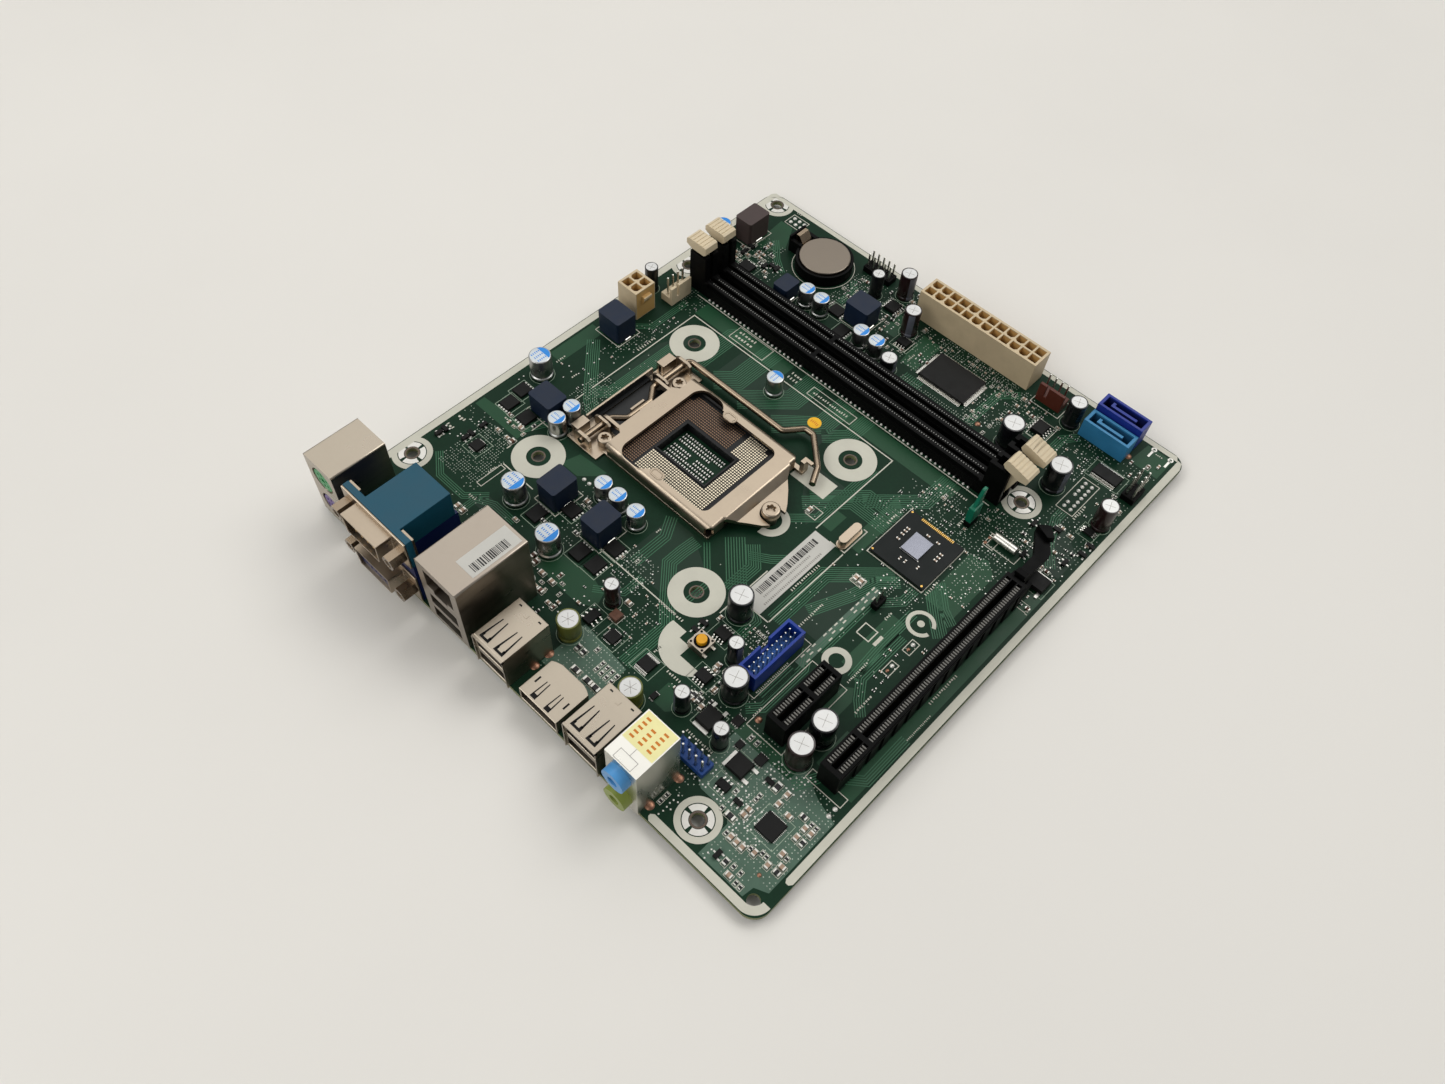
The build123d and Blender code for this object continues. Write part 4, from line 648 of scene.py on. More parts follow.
# ---- Pads, vias and solder -------------------------------------------------------------------------
pads = Piece("board_pads", [SOLDER, HOLE, COPPER, VIA, RIM])
for u, v in STANDOFFS:
    for quarter in range(4):
        pads.ring(u, v, 2.75, 4.6, layer["pad"], 0, 90 * quarter + 8, 90 * quarter + 82, 12)
    pads.ring(u, v, 2.02, 2.6, layer["pad"], 4, steps=32)
for u, v in COOLERS:
    pads.ring(u, v, 2.02, 2.42, layer["pad"], 4, steps=32)
for i in range(DIMM_TAILS):
    u = DIMM_TAIL_U + 2 * i
    if not 71.5 < u < 76.6:
        pads.dome(u, 157.1, 0.55, 0.55)
for i in range(2):
    for j in range(3):
        pads.dome(16.9 + 2.54 * j, 212.4 + 2.54 * i, 0.85, 0.5)
for j in range(7):
    for i in range(2):
        if (i, j) != (0, 2):
            pads.dome(174.8 + 2.54 * i, 174.6 + 2.16 * j, 0.75, 0.45)
for u, v in ((171.9, 96.2), (171.9, 86.0), (31.2, 181.6), (57.2, 66.8), (54.7, 66.8), (189, 36.6),
             (189, 39.4)):
    pads.dome(u, v, 0.8, 0.4)
for u, v in ((171.9, 93.9), (171.9, 83.7), (164.9, 143.2), (164.9, 145.8), (186.4, 10.8)):
    pads.dome(u, v, 0.7, 0.3, slot=2)
for u, v, r in ((155.2, 44.2, 1.2), (95.6, 15.3, 1.7), (95.8, 9.6, 1.5), (151.5, 15.0, 1.5),
                (151.3, 3.6, 1.5), (178.6, 208.4, 1.3), (133.0, 182.0, 1.1)):
    pads.dome(u, v, r, 0.5, slot=2, steps=16)
for u in (183.6, 190.2):
    pads.ring(u, 217.6, 0.5, 1.0, layer["pad"], 0)
    pads.rect((u - 0.4, u + 0.4), (213.4, 217.4), layer["pad"])


def grid(u, v, pitch):
    """Places on a square grid, one column after another."""
    a = u[0]
    while a <= u[1]:
        b = v[0]
        while b <= v[1]:
            yield a, b
            b += pitch
        a += pitch


# Patches of plated holes: limits, pitch, and the share of places that have one. Most have a dark middle.
VIA_RADIUS, VIA_OPEN = 0.19, 0.6
for u, v, pitch, share in (
        ((13.5, 31), (38, 60), 0.95, 0.72), ((24, 36), (87, 104), 0.95, 0.6),
        ((16, 25), (110, 134), 1.3, 0.45), ((88, 99), (48, 61), 1.1, 0.55),
        ((103, 113), (32, 50), 1.1, 0.45), ((86, 96), (44, 60), 1.3, 0.4),
        ((132, 142), (58, 67), 1.05, 0.65), ((152, 165), (103, 112), 1.05, 0.6),
        ((138, 159), (136, 152), 1.15, 0.55), ((157, 177), (134, 161), 1.15, 0.6),
        ((162, 176), (118, 136), 1.2, 0.5), ((100, 132), (177.6, 181), 1.05, 0.9),
        ((101, 133), (200.4, 207.6), 1.05, 0.75), ((124, 138), (180, 207), 1.15, 0.55),
        ((168, 192), (2, 40), 1.15, 0.55), ((150, 172), (12, 42), 1.15, 0.45),
        ((158, 176), (183, 205), 1.2, 0.5), ((171, 192), (146, 173), 1.25, 0.5),
        ((54, 64), (185, 213), 1.05, 0.6), ((63, 81), (185, 217), 1.2, 0.5),
        ((13, 35), (177, 199), 1.2, 0.45), ((91, 105), (185, 208), 1.2, 0.4),
        ((17, 26), (146, 157), 1.1, 0.55), ((97, 121), (11, 31), 1.2, 0.5), ((57, 71), (45, 67), 1.2, 0.42),
        ((26, 62), (19, 41), 1.6, 0.22), ((111, 119), (103, 117), 1.3, 0.2),
        ((129, 151), (32, 48), 1.2, 0.45), ((136, 150), (184, 207), 1.2, 0.45),
        ((178, 192), (175, 207), 1.4, 0.4), ((132, 139), (119, 147), 1.3, 0.35),
        ((4, 27), (56, 62), 1.4, 0.35), ((110, 121), (54, 76), 1.5, 0.22),
        ((27.5, 36), (104, 146), 1.9, 0.16), ((137, 150), (68, 104), 1.8, 0.2),
        ((154, 176), (69, 103), 1.9, 0.18)):
    for a, b in grid(u, v, pitch):
        if RNG.random() < share and is_free(a, b, 0.2):
            pads.disc(a, b, VIA_RADIUS, layer["pad"], 3, 6)
            if RNG.random() < VIA_OPEN:
                pads.disc(a, b, VIA_RADIUS / 2, layer["pad"] + 0.004, 1, 6)
pads.done(slot="board_green", smooth=50)

# ---- Small surface-mounted parts -------------------------------------------------------------------
small = Piece("surface_mount_parts", [SOLDER, CERAMIC_TAN, RESISTOR, CERAMIC_BROWN, SILK, CHIP])


def two_ended(u, v, length, width, height, body, along, framed):
    """A chip capacitor or resistor: a body between two plated ends on solder fillets."""
    half, wide = length / 2, width / 2
    end = length * 0.22

    def span(low, high, side, z, slot):
        first, second = (u + low, u + high), (v - side, v + side)
        if along == "v":
            first, second = (u - side, u + side), (v + low, v + high)
        small.box(first, second, z, slot)

    span(-half + end, half - end, wide, (0.02, height), body)
    span(-half, -half + end, wide * 1.02, (0.02, height * 1.02), 0)
    span(half - end, half, wide * 1.02, (0.02, height * 1.02), 0)
    if framed:
        reach, side = half + 0.32, wide + 0.3
        a, b = (reach, side) if along == "u" else (side, reach)
        small.outline((u - a, u + a), (v - b, v + b), 0.16, 0.03, 4)


def three_legged(u, v, turn):
    """A small three-lead package."""
    small.block(u, v, 0.1, (2.8, 1.4, 1.0), 5, turn)
    c, s = math.cos(math.radians(turn)), math.sin(math.radians(turn))
    for a, b in ((-0.95, -1.15), (0.95, -1.15), (0, 1.15)):
        small.block(u + a * c - b * s, v + a * s + b * c, 0.0, (0.5, 0.9, 0.25), 0, turn)


# Chip parts by size: length, width and height, and the body tones that they come in. In a patch's kinds,
# d is a test pad and t a three-lead package.
CHIP_SIZES = {"s": ((1.0, 0.5, 0.4), (1, 2, 2)), "m": ((1.6, 0.8, 0.7), (1, 1, 2, 3)),
              "l": ((2.0, 1.25, 1.0), (1, 3))}


def crowd(u, v, step, share, kinds, framed):
    """Fills a patch of board with small parts, leaving clear what is already placed."""
    for x, y in grid(u, v, step):
        y += step / 2 if RNG.random() < 0.2 else 0.0
        if RNG.random() < share and is_free(x, y, 0.75):
            kind = RNG.choice(kinds)
            way = RNG.choice("uuv")
            shown = RNG.random() < framed
            if kind in CHIP_SIZES:
                size, tones = CHIP_SIZES[kind]
                two_ended(x, y, *size, RNG.choice(tones), way, shown or kind == "l")
            elif kind == "d":
                small.block(x, y, 0.0, (0.42, 0.42, 0.06))
            else:
                three_legged(x, y, RNG.choice((0, 90, 180, 270)))


for u, v, step, share, kinds, framed in (
        ((131, 142), (34, 50), 2.1, 0.5, "smmd", 0.5), ((128, 140), (56, 68), 1.9, 0.55, "ssd", 0.4),
        ((78, 94), (18, 34), 2.2, 0.4, "smd", 0.5), ((66, 78), (28, 36), 2.3, 0.45, "smld", 0.4),
        ((86, 112), (34, 60), 2.3, 0.36, "ssdd", 0.2), ((117, 124), (52, 68), 2.2, 0.45, "smd", 0.2),
        ((58, 72), (46, 66), 2.2, 0.42, "smdl", 0.5), ((47, 53), (40, 51), 2.2, 0.6, "ml", 0.8),
        ((14, 32), (60, 74), 2.4, 0.4, "smml", 0.7), ((6, 16), (42, 60), 2.6, 0.5, "tdd", 0.0),
        ((6, 16), (80, 86), 2.2, 0.5, "sd", 0.4), ((11, 24), (92, 116), 2.5, 0.34, "sddd", 0.1),
        ((18, 25), (116, 136), 2.2, 0.5, "sdd", 0.2), ((18, 26), (136, 155), 2.3, 0.3, "sd", 0.1),
        ((14, 34), (179, 197), 2.2, 0.5, "smmdt", 0.4), ((54, 64), (186, 211), 2.2, 0.55, "ssdm", 0.3),
        ((64, 82), (197, 217), 2.2, 0.42, "smd", 0.4), ((80, 94), (185, 207), 2.4, 0.36, "smd", 0.5),
        ((94, 130), (201.5, 206.5), 1.9, 0.6, "sssd", 0.1), ((126, 138), (180, 204), 2.1, 0.45, "ssd", 0.3),
        ((96, 103), (179, 200), 2.3, 0.3, "smd", 0.3), ((138, 156), (185, 205), 2.3, 0.4, "ssmd", 0.3),
        ((157, 176), (183, 203), 2.4, 0.4, "sdd", 0.1), ((169, 174), (178, 194), 2.0, 0.6, "sd", 0.1),
        ((180, 192), (166, 192), 2.4, 0.42, "smd", 0.5), ((172, 192), (148, 168), 2.3, 0.36, "smdt", 0.2),
        ((158, 178), (146, 162), 2.1, 0.42, "ssd", 0.1), ((138, 158), (136, 152), 2.1, 0.46, "ssdd", 0.1),
        ((163, 177), (118, 143), 2.3, 0.34, "sdd", 0.0), ((150, 166), (103, 112), 2.1, 0.4, "ssd", 0.1),
        ((130, 138), (126, 146), 2.6, 0.3, "sd", 0.1), ((182, 191), (132, 148), 2.5, 0.4, "sdm", 0.2),
        ((168, 176), (74, 98), 2.6, 0.25, "sd", 0.1), ((28, 56), (21, 36), 2.6, 0.14, "sd", 0.1),
        ((135.5, 150), (98, 112), 2.8, 0.2, "sd", 0.1), ((181, 191), (196, 216), 2.6, 0.25, "sm", 0.6)):
    crowd(u, v, step, share, kinds, framed)
# The parts of the audio corner and beside the switch, one by one: place, direction and body tone.
for u, v, along, tone in (
        (115.9, 111.4, "v", 1), (144, 102, "v", 1), (146, 102, "v", 1), (34.2, 30, "v", 1),
        (36.8, 30, "v", 1), (176.75, 32.9, "v", 1), (176.75, 29.1, "v", 1), (181.1, 28.5, "u", 1),
        (186.75, 29.0, "v", 1), (189.0, 29.0, "v", 1), (186.75, 25.5, "v", 1), (189.0, 25.4, "v", 2),
        (187.1, 19.3, "v", 1), (189.4, 16.6, "u", 1), (189.4, 14.5, "u", 2), (186.3, 14.2, "v", 1),
        (181.4, 14.2, "v", 1), (172.0, 22.1, "u", 1), (172.0, 20.0, "u", 1), (173.8, 12.9, "v", 1),
        (175.9, 12.9, "v", 1), (178.0, 12.9, "v", 1), (177.5, 6.9, "v", 2), (180.6, 4.9, "u", 1),
        (184.3, 31.3, "u", 2), (99.9, 44.4, "u", 1), (136.4, 36.4, "v", 2), (138.6, 36.4, "v", 2),
        (140.7, 35.0, "v", 1), (134.6, 48.2, "v", 1), (100.6, 22.8, "v", 2), (102.9, 22.8, "v", 2)):
    two_ended(u, v, 2.0, 1.25, 1.0, tone, along, True)
for u, v, along in ((169.5, 17.1, "u"), (173.2, 32.6, "v"), (105.7, 17.3, "u"), (110.8, 17.3, "u"),
                    (114.2, 17.3, "u")):
    two_ended(u, v, 3.0, 1.5, 0.9, 2, along, True)
TINY = [(171.3, 27.2), (171.3, 25.8), (165.6, 23.5), (183.0, 15.7), (184.5, 15.7), (179.8, 14.4),
        (172.0, 12.9), (182.5, 7.5), (179.9, 7.5), (187.4, 31.2), (189.0, 31.2), (183.4, 4.7), (185.0, 4.7),
        (157.6, 38.4), (160.0, 38.4), (105.1, 26.4), (188.8, 19.2), (166.2, 17.2), (152.6, 9.0),
        (152.6, 6.6)]
for u, v in TINY + [(109.7 + 2.05 * i, v) for i in range(4) for v in (24.3, 21.9)]:
    two_ended(u, v, 1.3, 0.75, 0.5, 2, "v", True)
for u, v, turn in ((170.5, 32.3, 0), (168.3, 21.5, 0), (174.5, 6.9, 90), (121.4, 55.8, 0), (121.4, 52.3, 0)):
    three_legged(u, v, turn)
for u, v, a, b in ((151.4, 39.5, 2.9, 3.0), (156.8, 34.5, 2.2, 2.4), (164.3, 35.3, 3.0, 3.3),
                   (128.3, 27.8, 1.7, 2.3)):
    small.block(u, v, 0.02, (a, b, 0.9), 5)
    for i in range(4):
        for sign in (-1, 1):
            small.block(u + (i - 1.5) * a * 0.26, v + sign * (b / 2 + 0.2), 0.0, (a * 0.13, 0.5, 0.15), 0)
small.block(100.7, 38.3, 0.0, (3.3, 3.3, 1.6), 3)
small.outline((98.7, 102.7), (36.3, 40.3), 0.2, 0.03, 4)
# Loose rows of test pads: the first pad, how many in a row, and the share left out.
PAD_PITCH, PAD_ROWS = 1.45, 6
for row in range(PAD_ROWS):
    for u, v, count, cut in ((155, 3.8, 13, 0.3), (153, 18.4, 17, 0.3), (170, 14.6, 8, 0.4),
                             (168, 34.2, 9, 0.3)):
        for i in range(count):
            a = u + PAD_PITCH * i + RNG.uniform(-0.25, 0.25)
            b = v + PAD_PITCH * row + RNG.uniform(-0.25, 0.25)
            if RNG.random() > cut and is_free(a, b, 0.3):
                small.block(a, b, 0.0, (0.46, 0.46, 0.05), 0, 45)
small.done(slot="tin")

# ---- Chips and their leads -------------------------------------------------------------------------
chips = Piece("chip_packages", [CHIP, TIN, SOLDER, HOLE])


def package(u, v, a, b, z):
    """A moulded package with drafted sides and a dot at its first corner."""
    draft = min(0.14 * (z[1] - z[0]) + 0.05, 0.25)
    middle = (z[0] + z[1]) / 2
    points = [(u + i * (a / 2 - inset), v + j * (b / 2 - inset), level)
              for level, inset in ((z[0], draft), (middle, 0.0), (z[1], draft))
              for i, j in ((-1, -1), (1, -1), (1, 1), (-1, 1))]
    chips.add(points, wall(3, 4) + [(8, 9, 10, 11)])
    chips.disc(u - a / 2 + 0.9, v + b / 2 - 0.9, 0.28, z[1] + 0.01, 3, 12)


def gull(piece, u, v, way, width, height, reach=1.15, slot=1):
    """A gull-wing lead that leaves the package at u, v towards way."""
    du, dv = way
    across = (abs(dv) * width / 2, abs(du) * width / 2)
    for start, end, z in ((0.0, 0.35, (height * 0.42, height * 0.6)), (0.3, 0.5, (0.02, height * 0.6)),
                          (0.5, reach, (0.02, 0.2))):
        low = (u + du * start, v + dv * start)
        high = (u + du * end, v + dv * end)
        piece.box(sorted((low[0] - across[0], high[0] + across[0])),
                  sorted((low[1] - across[1], high[1] + across[1])), z, slot)


for u, v, a, b, height, count, along in LEADED:
    package(u, v, a, b, (0.1, height))
    width = min(0.5, (a if along == "v" else b) / count * 0.55)
    for sign in (1, -1):
        for i in range(count):
            share = ((i + 0.5) / count - 0.5) * 0.94
            if along == "v":
                gull(chips, u + share * a, v + sign * b / 2, (0, sign), width, height)
            else:
                gull(chips, u + sign * a / 2, v + share * b, (sign, 0), width, height)
for u, v, a, b, turn in POWER_CHIPS:
    package(u, v, a, b, (0.02, 1.0))
    c, s = round(math.cos(math.radians(turn))), round(math.sin(math.radians(turn)))
    for i in range(4):
        share = (i - 1.5) * 1.25
        at = (u + c * (a / 2 + 0.35) - s * share, v + s * (b / 2 + 0.35) + c * share)
        chips.block(at[0], at[1], 0.0, (0.7, 0.7, 0.3), 2)
for u, v, a, b, turn in TAB_CHIPS:
    package(u, v, a, b, (0.1, 2.2))
    c, s = round(math.cos(math.radians(turn))), round(math.sin(math.radians(turn)))
    for share in (-2.2, 2.2):
        at = (u + c * (a / 2 + 0.9) - s * share, v + s * (b / 2 + 0.9) + c * share)
        chips.block(at[0], at[1], 0.0, (1.1 + abs(c), 1.1 + abs(s), 0.5), 2)
    at = (u - c * (a / 2 + 0.6), v - s * (b / 2 + 0.6))
    chips.block(at[0], at[1], 0.0, (1.2 if c else a * 0.92, 1.2 if s else b * 0.92, 0.6), 2)
for u, v, a, b, height in FLAT_CHIPS:
    package(u, v, a, b, (0.02, height))
    for i in range(int(a / 0.5) - 2):
        at = -a / 2 + 0.75 + i * 0.5
        for sign in (-1, 1):
            chips.block(u + at, v + sign * (b / 2 + 0.15), 0.0, (0.26, 0.5, 0.12), 1)
            chips.block(u + sign * (a / 2 + 0.15), v + at, 0.0, (0.5, 0.26, 0.12), 1)
chips.done(bevel=0.05, slot="chip_black", replaces=["small_chips"])

paint(CHIP, 0.12, "super_io_chip")
leads = Piece("controller_leads", [TIN, HOLE])
u0, u1, v0, v1, _, _ = node_box("super_io_chip")
LEADS_U, LEADS_V, LEAD_INSET = 38, 26, 0.75
for i in range(LEADS_U):
    at = u0 + LEAD_INSET + i * (u1 - u0 - 2 * LEAD_INSET) / (LEADS_U - 1)
    for sign, edge in ((1, v1), (-1, v0)):
        gull(leads, at, edge, (0, sign), 0.3, 1.3, 1.45, 0)
for i in range(LEADS_V):
    at = v0 + LEAD_INSET + i * (v1 - v0 - 2 * LEAD_INSET) / (LEADS_V - 1)
    for sign, edge in ((1, u1), (-1, u0)):
        gull(leads, edge, at, (sign, 0), 0.3, 1.3, 1.45, 0)
leads.disc(u0 + 1.6, v0 + 1.6, 0.5, 1.53, 1)
leads.done(slot="tin")

# ---- Chipset ---------------------------------------------------------------------------------------
paint(SUBSTRATE, 0.08, "chipset_package")
paint(DIE, 0.04, "chipset_die")
chipset = Piece("chipset_parts", [GOLD, SOLDER, CERAMIC_TAN])
for i in range(22):
    chipset.block(145.2 + i * 0.6, 134.6, 1.3, (0.34, 1.0, 0.05), 0)
for u, v in ((140.9, 134.6), (140.7, 114.0), (160.9, 114.0)):
    chipset.disc(u, v, 0.4, 1.32, 0, 10)
for u, v, along in ((150.6, 130.6, "u"), (154.6, 130.6, "u"), (158.1, 127.8, "u"), (158.1, 126.2, "u"),
                    (158.1, 124.7, "u"), (144.1, 128.2, "u"), (144.1, 126.8, "u"), (144.1, 125.2, "u"),
                    (144.2, 122.8, "u"), (149.4, 117.2, "v"), (151.4, 117.4, "v"), (155.8, 118.4, "v")):
    flat = along == "u"
    chipset.block(u, v, 1.3, (0.7, 0.54, 0.4) if flat else (0.3, 0.7, 0.4), 2)
    for shift in (-0.5, 0.5):
        if flat:
            chipset.block(u + shift, v, 1.3, (0.36, 0.6, 0.42), 1)
        else:
            chipset.block(u, v + shift, 1.3, (0.6, 0.36, 0.42), 1)
chipset.stroke([(146.8, 120.5), (154.4, 120.5)], 0.35, 1.33, 1)
chipset.done(slot="tin")

# ---- Capacitors, chokes and crystals ---------------------------------------------------------------
TURNED_CANS = ((9.9, 87.5), (72.7, 141.0), (4.8, 185.4))
cans = Piece("polymer_cans", [CAN, CAN_TOP, CAN_BLUE, BLACK])
for u, v, r, h in POLYMERS:
    turned = (u, v) in TURNED_CANS
    cans.lathe(u, v, [(r * 0.97, 0.0), (r * 0.97, 0.5), (r, 0.6), (r, 1.3), (r * 0.9, 1.6), (r * 0.9, 1.9),
                      (r, 2.3), (r, h - 0.35), (r * 0.96, h - 0.1), (r * 0.9, h)],
               [3, 0, 0, 0, 0, 0, 0, 0, 0, 1], 40)
    cans.sheet([polar(u, v, r * 0.88, a + 90 * turned) for a in range(-66, 67, 6)], h + 0.02, 2)
    rows = 3 if r > 3.5 else 2
    for k in range(rows):
        for i in range(5):
            a, b = -0.55 * r + i * 0.2 * r, (k - (rows - 1) / 2) * 0.46 * r
            wide, tall = 0.09 * r, 0.2 * r
            if turned:
                a, b, wide, tall = b, a, tall, wide
            cans.block(u + a, v + b, h + 0.01, (wide, tall, 0.01), 2)
cans.done(smooth=35, slot="can_silver", replaces=["polymer_capacitors"])

sleeves = Piece("sleeved_cans", [BLACK_SOFT, CAN_LID, STRIPE, MAROON, OLIVE_SLEEVE, STEEL])
for u, v, r, h, tint in SLEEVED:
    cover = (0, 3, 4)[tint]
    band = RNG.randrange(40)

    def sleeve(i, cover=cover, band=band, tint=tint):
        """The sleeve's tone, or its stripe's on the black and maroon ones."""
        return 2 if tint != 2 and (i - band) % 40 < 5 else cover

    sleeves.lathe(u, v, [(r * 0.96, 0.0), (r, 0.3), (r, 1.2), (r * 0.93, 1.5), (r * 0.93, 1.9), (r, 2.3),
                         (r, h - 0.4), (r * 0.98, h - 0.05), (r * 0.86, h), (r * 0.82, h - 0.12),
                         (r * 0.8, h - 0.12)],
                  [cover, sleeve, sleeve, sleeve, sleeve, sleeve, cover, cover, 1, 1, 1], 40)
    for turn in (20, 110) if tint != 2 else (20, 80, 140):
        sleeves.block(u, v, h - 0.13, (r * 1.15, 0.12, 0.02), 5, turn)
sleeves.done(smooth=35, slot="can_sleeve", replaces=["electrolytic_capacitors"])

CHOKE_ROUND, BROWN_CHOKE = 0.9, 6
coils = Piece("choke_blocks", [CHOKE, CHOKE_BROWN, TIN])
for index, (u, v, a, b, h) in enumerate(CHOKES):
    x, y = a / 2 - CHOKE_ROUND, b / 2 - CHOKE_ROUND
    corners = ((x, y, 0), (-x, y, 90), (-x, -y, 180), (x, -y, 270))
    outline = [polar(u + i, v + j, CHOKE_ROUND, t + s) for i, j, t in corners for s in (0, 30, 60, 90)]
    coils.prism(outline, (0.15, h), int(index == BROWN_CHOKE))
    for sign in (-1, 1):
        coils.block(u + sign * (a / 2 - 0.3), v, 0.0, (1.4, b * 0.35, 0.5), 2)
coils.done(bevel=0.4, slot="inductor_blue", replaces=["power_inductors"])

crystal = Piece("crystal_cans", [NICKEL])
for half_u, half_v, z in ((1.95, 5.6, (0.0, 0.7)), (1.5, 4.95, (0.7, 3.6))):
    reach = half_v - half_u
    oval = [polar(132.5, 112.1 + (reach if 0 < t <= 180 else -reach), half_u, t) for t in range(0, 360, 12)]
    crystal.prism(oval, z)
crystal.done(bevel=0.25, smooth=40, slot="crystal_can", replaces=["crystals"])

rod = Piece("crystal_rod", [SHIELD, TIN])
STEPS = 24
profile = [(166.2, 0.9), (166.2, 1.5), (171.2, 1.5), (171.3, 1.62), (171.8, 1.62), (171.9, 1.5), (174.5, 1.5),
           (174.7, 1.2)]
rod.add([(at, v, z) for at, r in profile for v, z in circle(146.3, 1.66, r, STEPS)],
        wall(len(profile), STEPS) + [tuple(range(STEPS - 1, -1, -1)),
                                     tuple((len(profile) - 1) * STEPS + i for i in range(STEPS))])
for v in (145.7, 146.9):
    rod.box((164.4, 166.4), (v - 0.15, v + 0.15), (0.9, 1.2), 1, True)
rod.done(smooth=40, slot="crystal_can")

# ---- Processor socket ------------------------------------------------------------------------------
paint(SOCKET, 0.15, "socket_body")
fields = Piece("socket_contact_tips", [BRONZE, CONTACT_HIGHLIGHT])
CONTACT_PITCH, CONTACTS = 0.9144, 40
for i in range(CONTACTS):
    for j in range(CONTACTS):
        u = SOCKET_U + (i - (CONTACTS - 1) / 2) * CONTACT_PITCH
        v = SOCKET_V + (j - (CONTACTS - 1) / 2) * CONTACT_PITCH
        if 62.6 < u < 87.2 and 90.6 < v < 107.8:
            continue
        upper = v > 107
        divider = 81.4 if upper else 63.0
        if (upper or v < 93) and abs(u - divider) < 0.75:
            continue
        if (i < 2 and j > 36) or (i > 37 and (j < 2 or j > 37)):
            continue
        # Contacts right of the divider are the same gold springs as the rest; their pale finish is a painted
        # highlight, while the left ones keep the bronze tone.
        right = u > divider if (upper or v < 93) else u > 75
        sign = 1 if right else -1
        w = 0.26 if right else 0.22
        a, b, c = -0.33 * sign, 0.12 * sign, 0.30 * sign
        fields.add([(u + x, y, z) for x, z in ((a, 3.36), (b, 3.48), (c, 3.42)) for y in (v - w, v + w)],
                   [(0, 2, 3, 1), (2, 4, 5, 3)] if right else [(0, 1, 3, 2), (2, 3, 5, 4)], int(right))
fields.done(slot="contact_gold", replaces=["socket_contacts"])

middle = Piece("socket_cavity_parts", [SOLDER, RESISTOR])
for i in range(9):
    for j, v in enumerate((104.7, 103.1, 101.5, 98.9, 97.3, 95.7, 94.1)):
        if (i == 4 and j in (3, 4)) or (i > 6 and j == 2):
            continue
        u = 65.7 + i * 2.13
        middle.block(u, v, 0.02, (0.62, 0.62, 0.5), 1)
        for sign in (-1, 1):
            middle.block(u + sign * 0.5, v, 0.02, (0.42, 0.7, 0.55), 0)
middle.done(slot="tin")

paint(NICKEL, 0.22, "ilm_frame", "load_plate")
paint(NICKEL, 0.08, "ilm_screws")
paint(NICKEL_DARK, None, "load_lever")
paint(STEEL, 0.2, "ilm_backplate")
paint(FILM, None, "backplate_insulator")
film = Piece("hinge_film", [FILM])
film.box((38.7, 51.5), (86.9, 112.9), (0.03, 0.25), 0)
film.box((37.55, 38.75), (86.7, 113.1), (0.82, 0.95), 0)
film.box((37.52, 37.6), (84.3, 115.3), (0.9, 3.3), 0)
film.done(slot="film_black")
# Near each tab a dark oval band with a nickel line over it is painted shade that stands for an embossed
# ring's relief.
emboss_shade = Piece("load_plate_emboss_shade", [NICKEL, NICKEL_DARK], body="load_plate")
for v in (82.4, 117.2):
    for width, z in ((0.75, 6.44), (0.34, 6.5)):
        oval = []
        for t in range(0, 361, 20):
            x, y = polar(0, 0, 1, t)
            oval.append((72.4 + 1.2 * x + (2.4 if x > 0 else 0), v + 1.35 * y))
        emboss_shade.stroke(oval, width, z, int(width > 0.5))
emboss_shade.done(slot="steel_nickel")

# ---- Memory slots ----------------------------------------------------------------------------------
for letter, v in DIMM_V.items():
    paint(BLACK, 0.12, f"dimm_slot_{letter}")
    teeth = Piece(f"dimm_{letter}_rails", [BLACK, HOLE, GLINT])
    for i in range(124):
        u = 24.9 + i
        if 73.0 < u < 75.6:
            continue
        for side in (-1, 1):
            inner, outer = sorted((v + side * 1.2, v + side * 1.75))
            teeth.box((u - 0.25, u + 0.25), (inner, outer), (6.48, 6.56), 1)
            teeth.box((u - 0.2, u + 0.2), (inner + 0.06, outer - 0.08), (6.5, 6.6), 2)
            inner, outer = sorted((v + side * 3.0, v + side * 3.42))
            teeth.box((u - 0.22, u + 0.22), (inner, outer), (3.4, 4.62), 0)
    for side in (-1, 1):
        inner, outer = sorted((v + side * 2.05, v + side * 2.3))
        teeth.box((23, 150), (inner, outer), (6.49, 6.53), 1)
    teeth.done(slot="slot_black")
    for end in ("left", "right"):
        paint(IVORY, 0.3, f"dimm_latch_{letter}_{end}")
# The slot contacts take a dark brown that is painted shade of the slot channel.
paint(SHADED_CONTACT_STRIP, None, "slot_contacts")

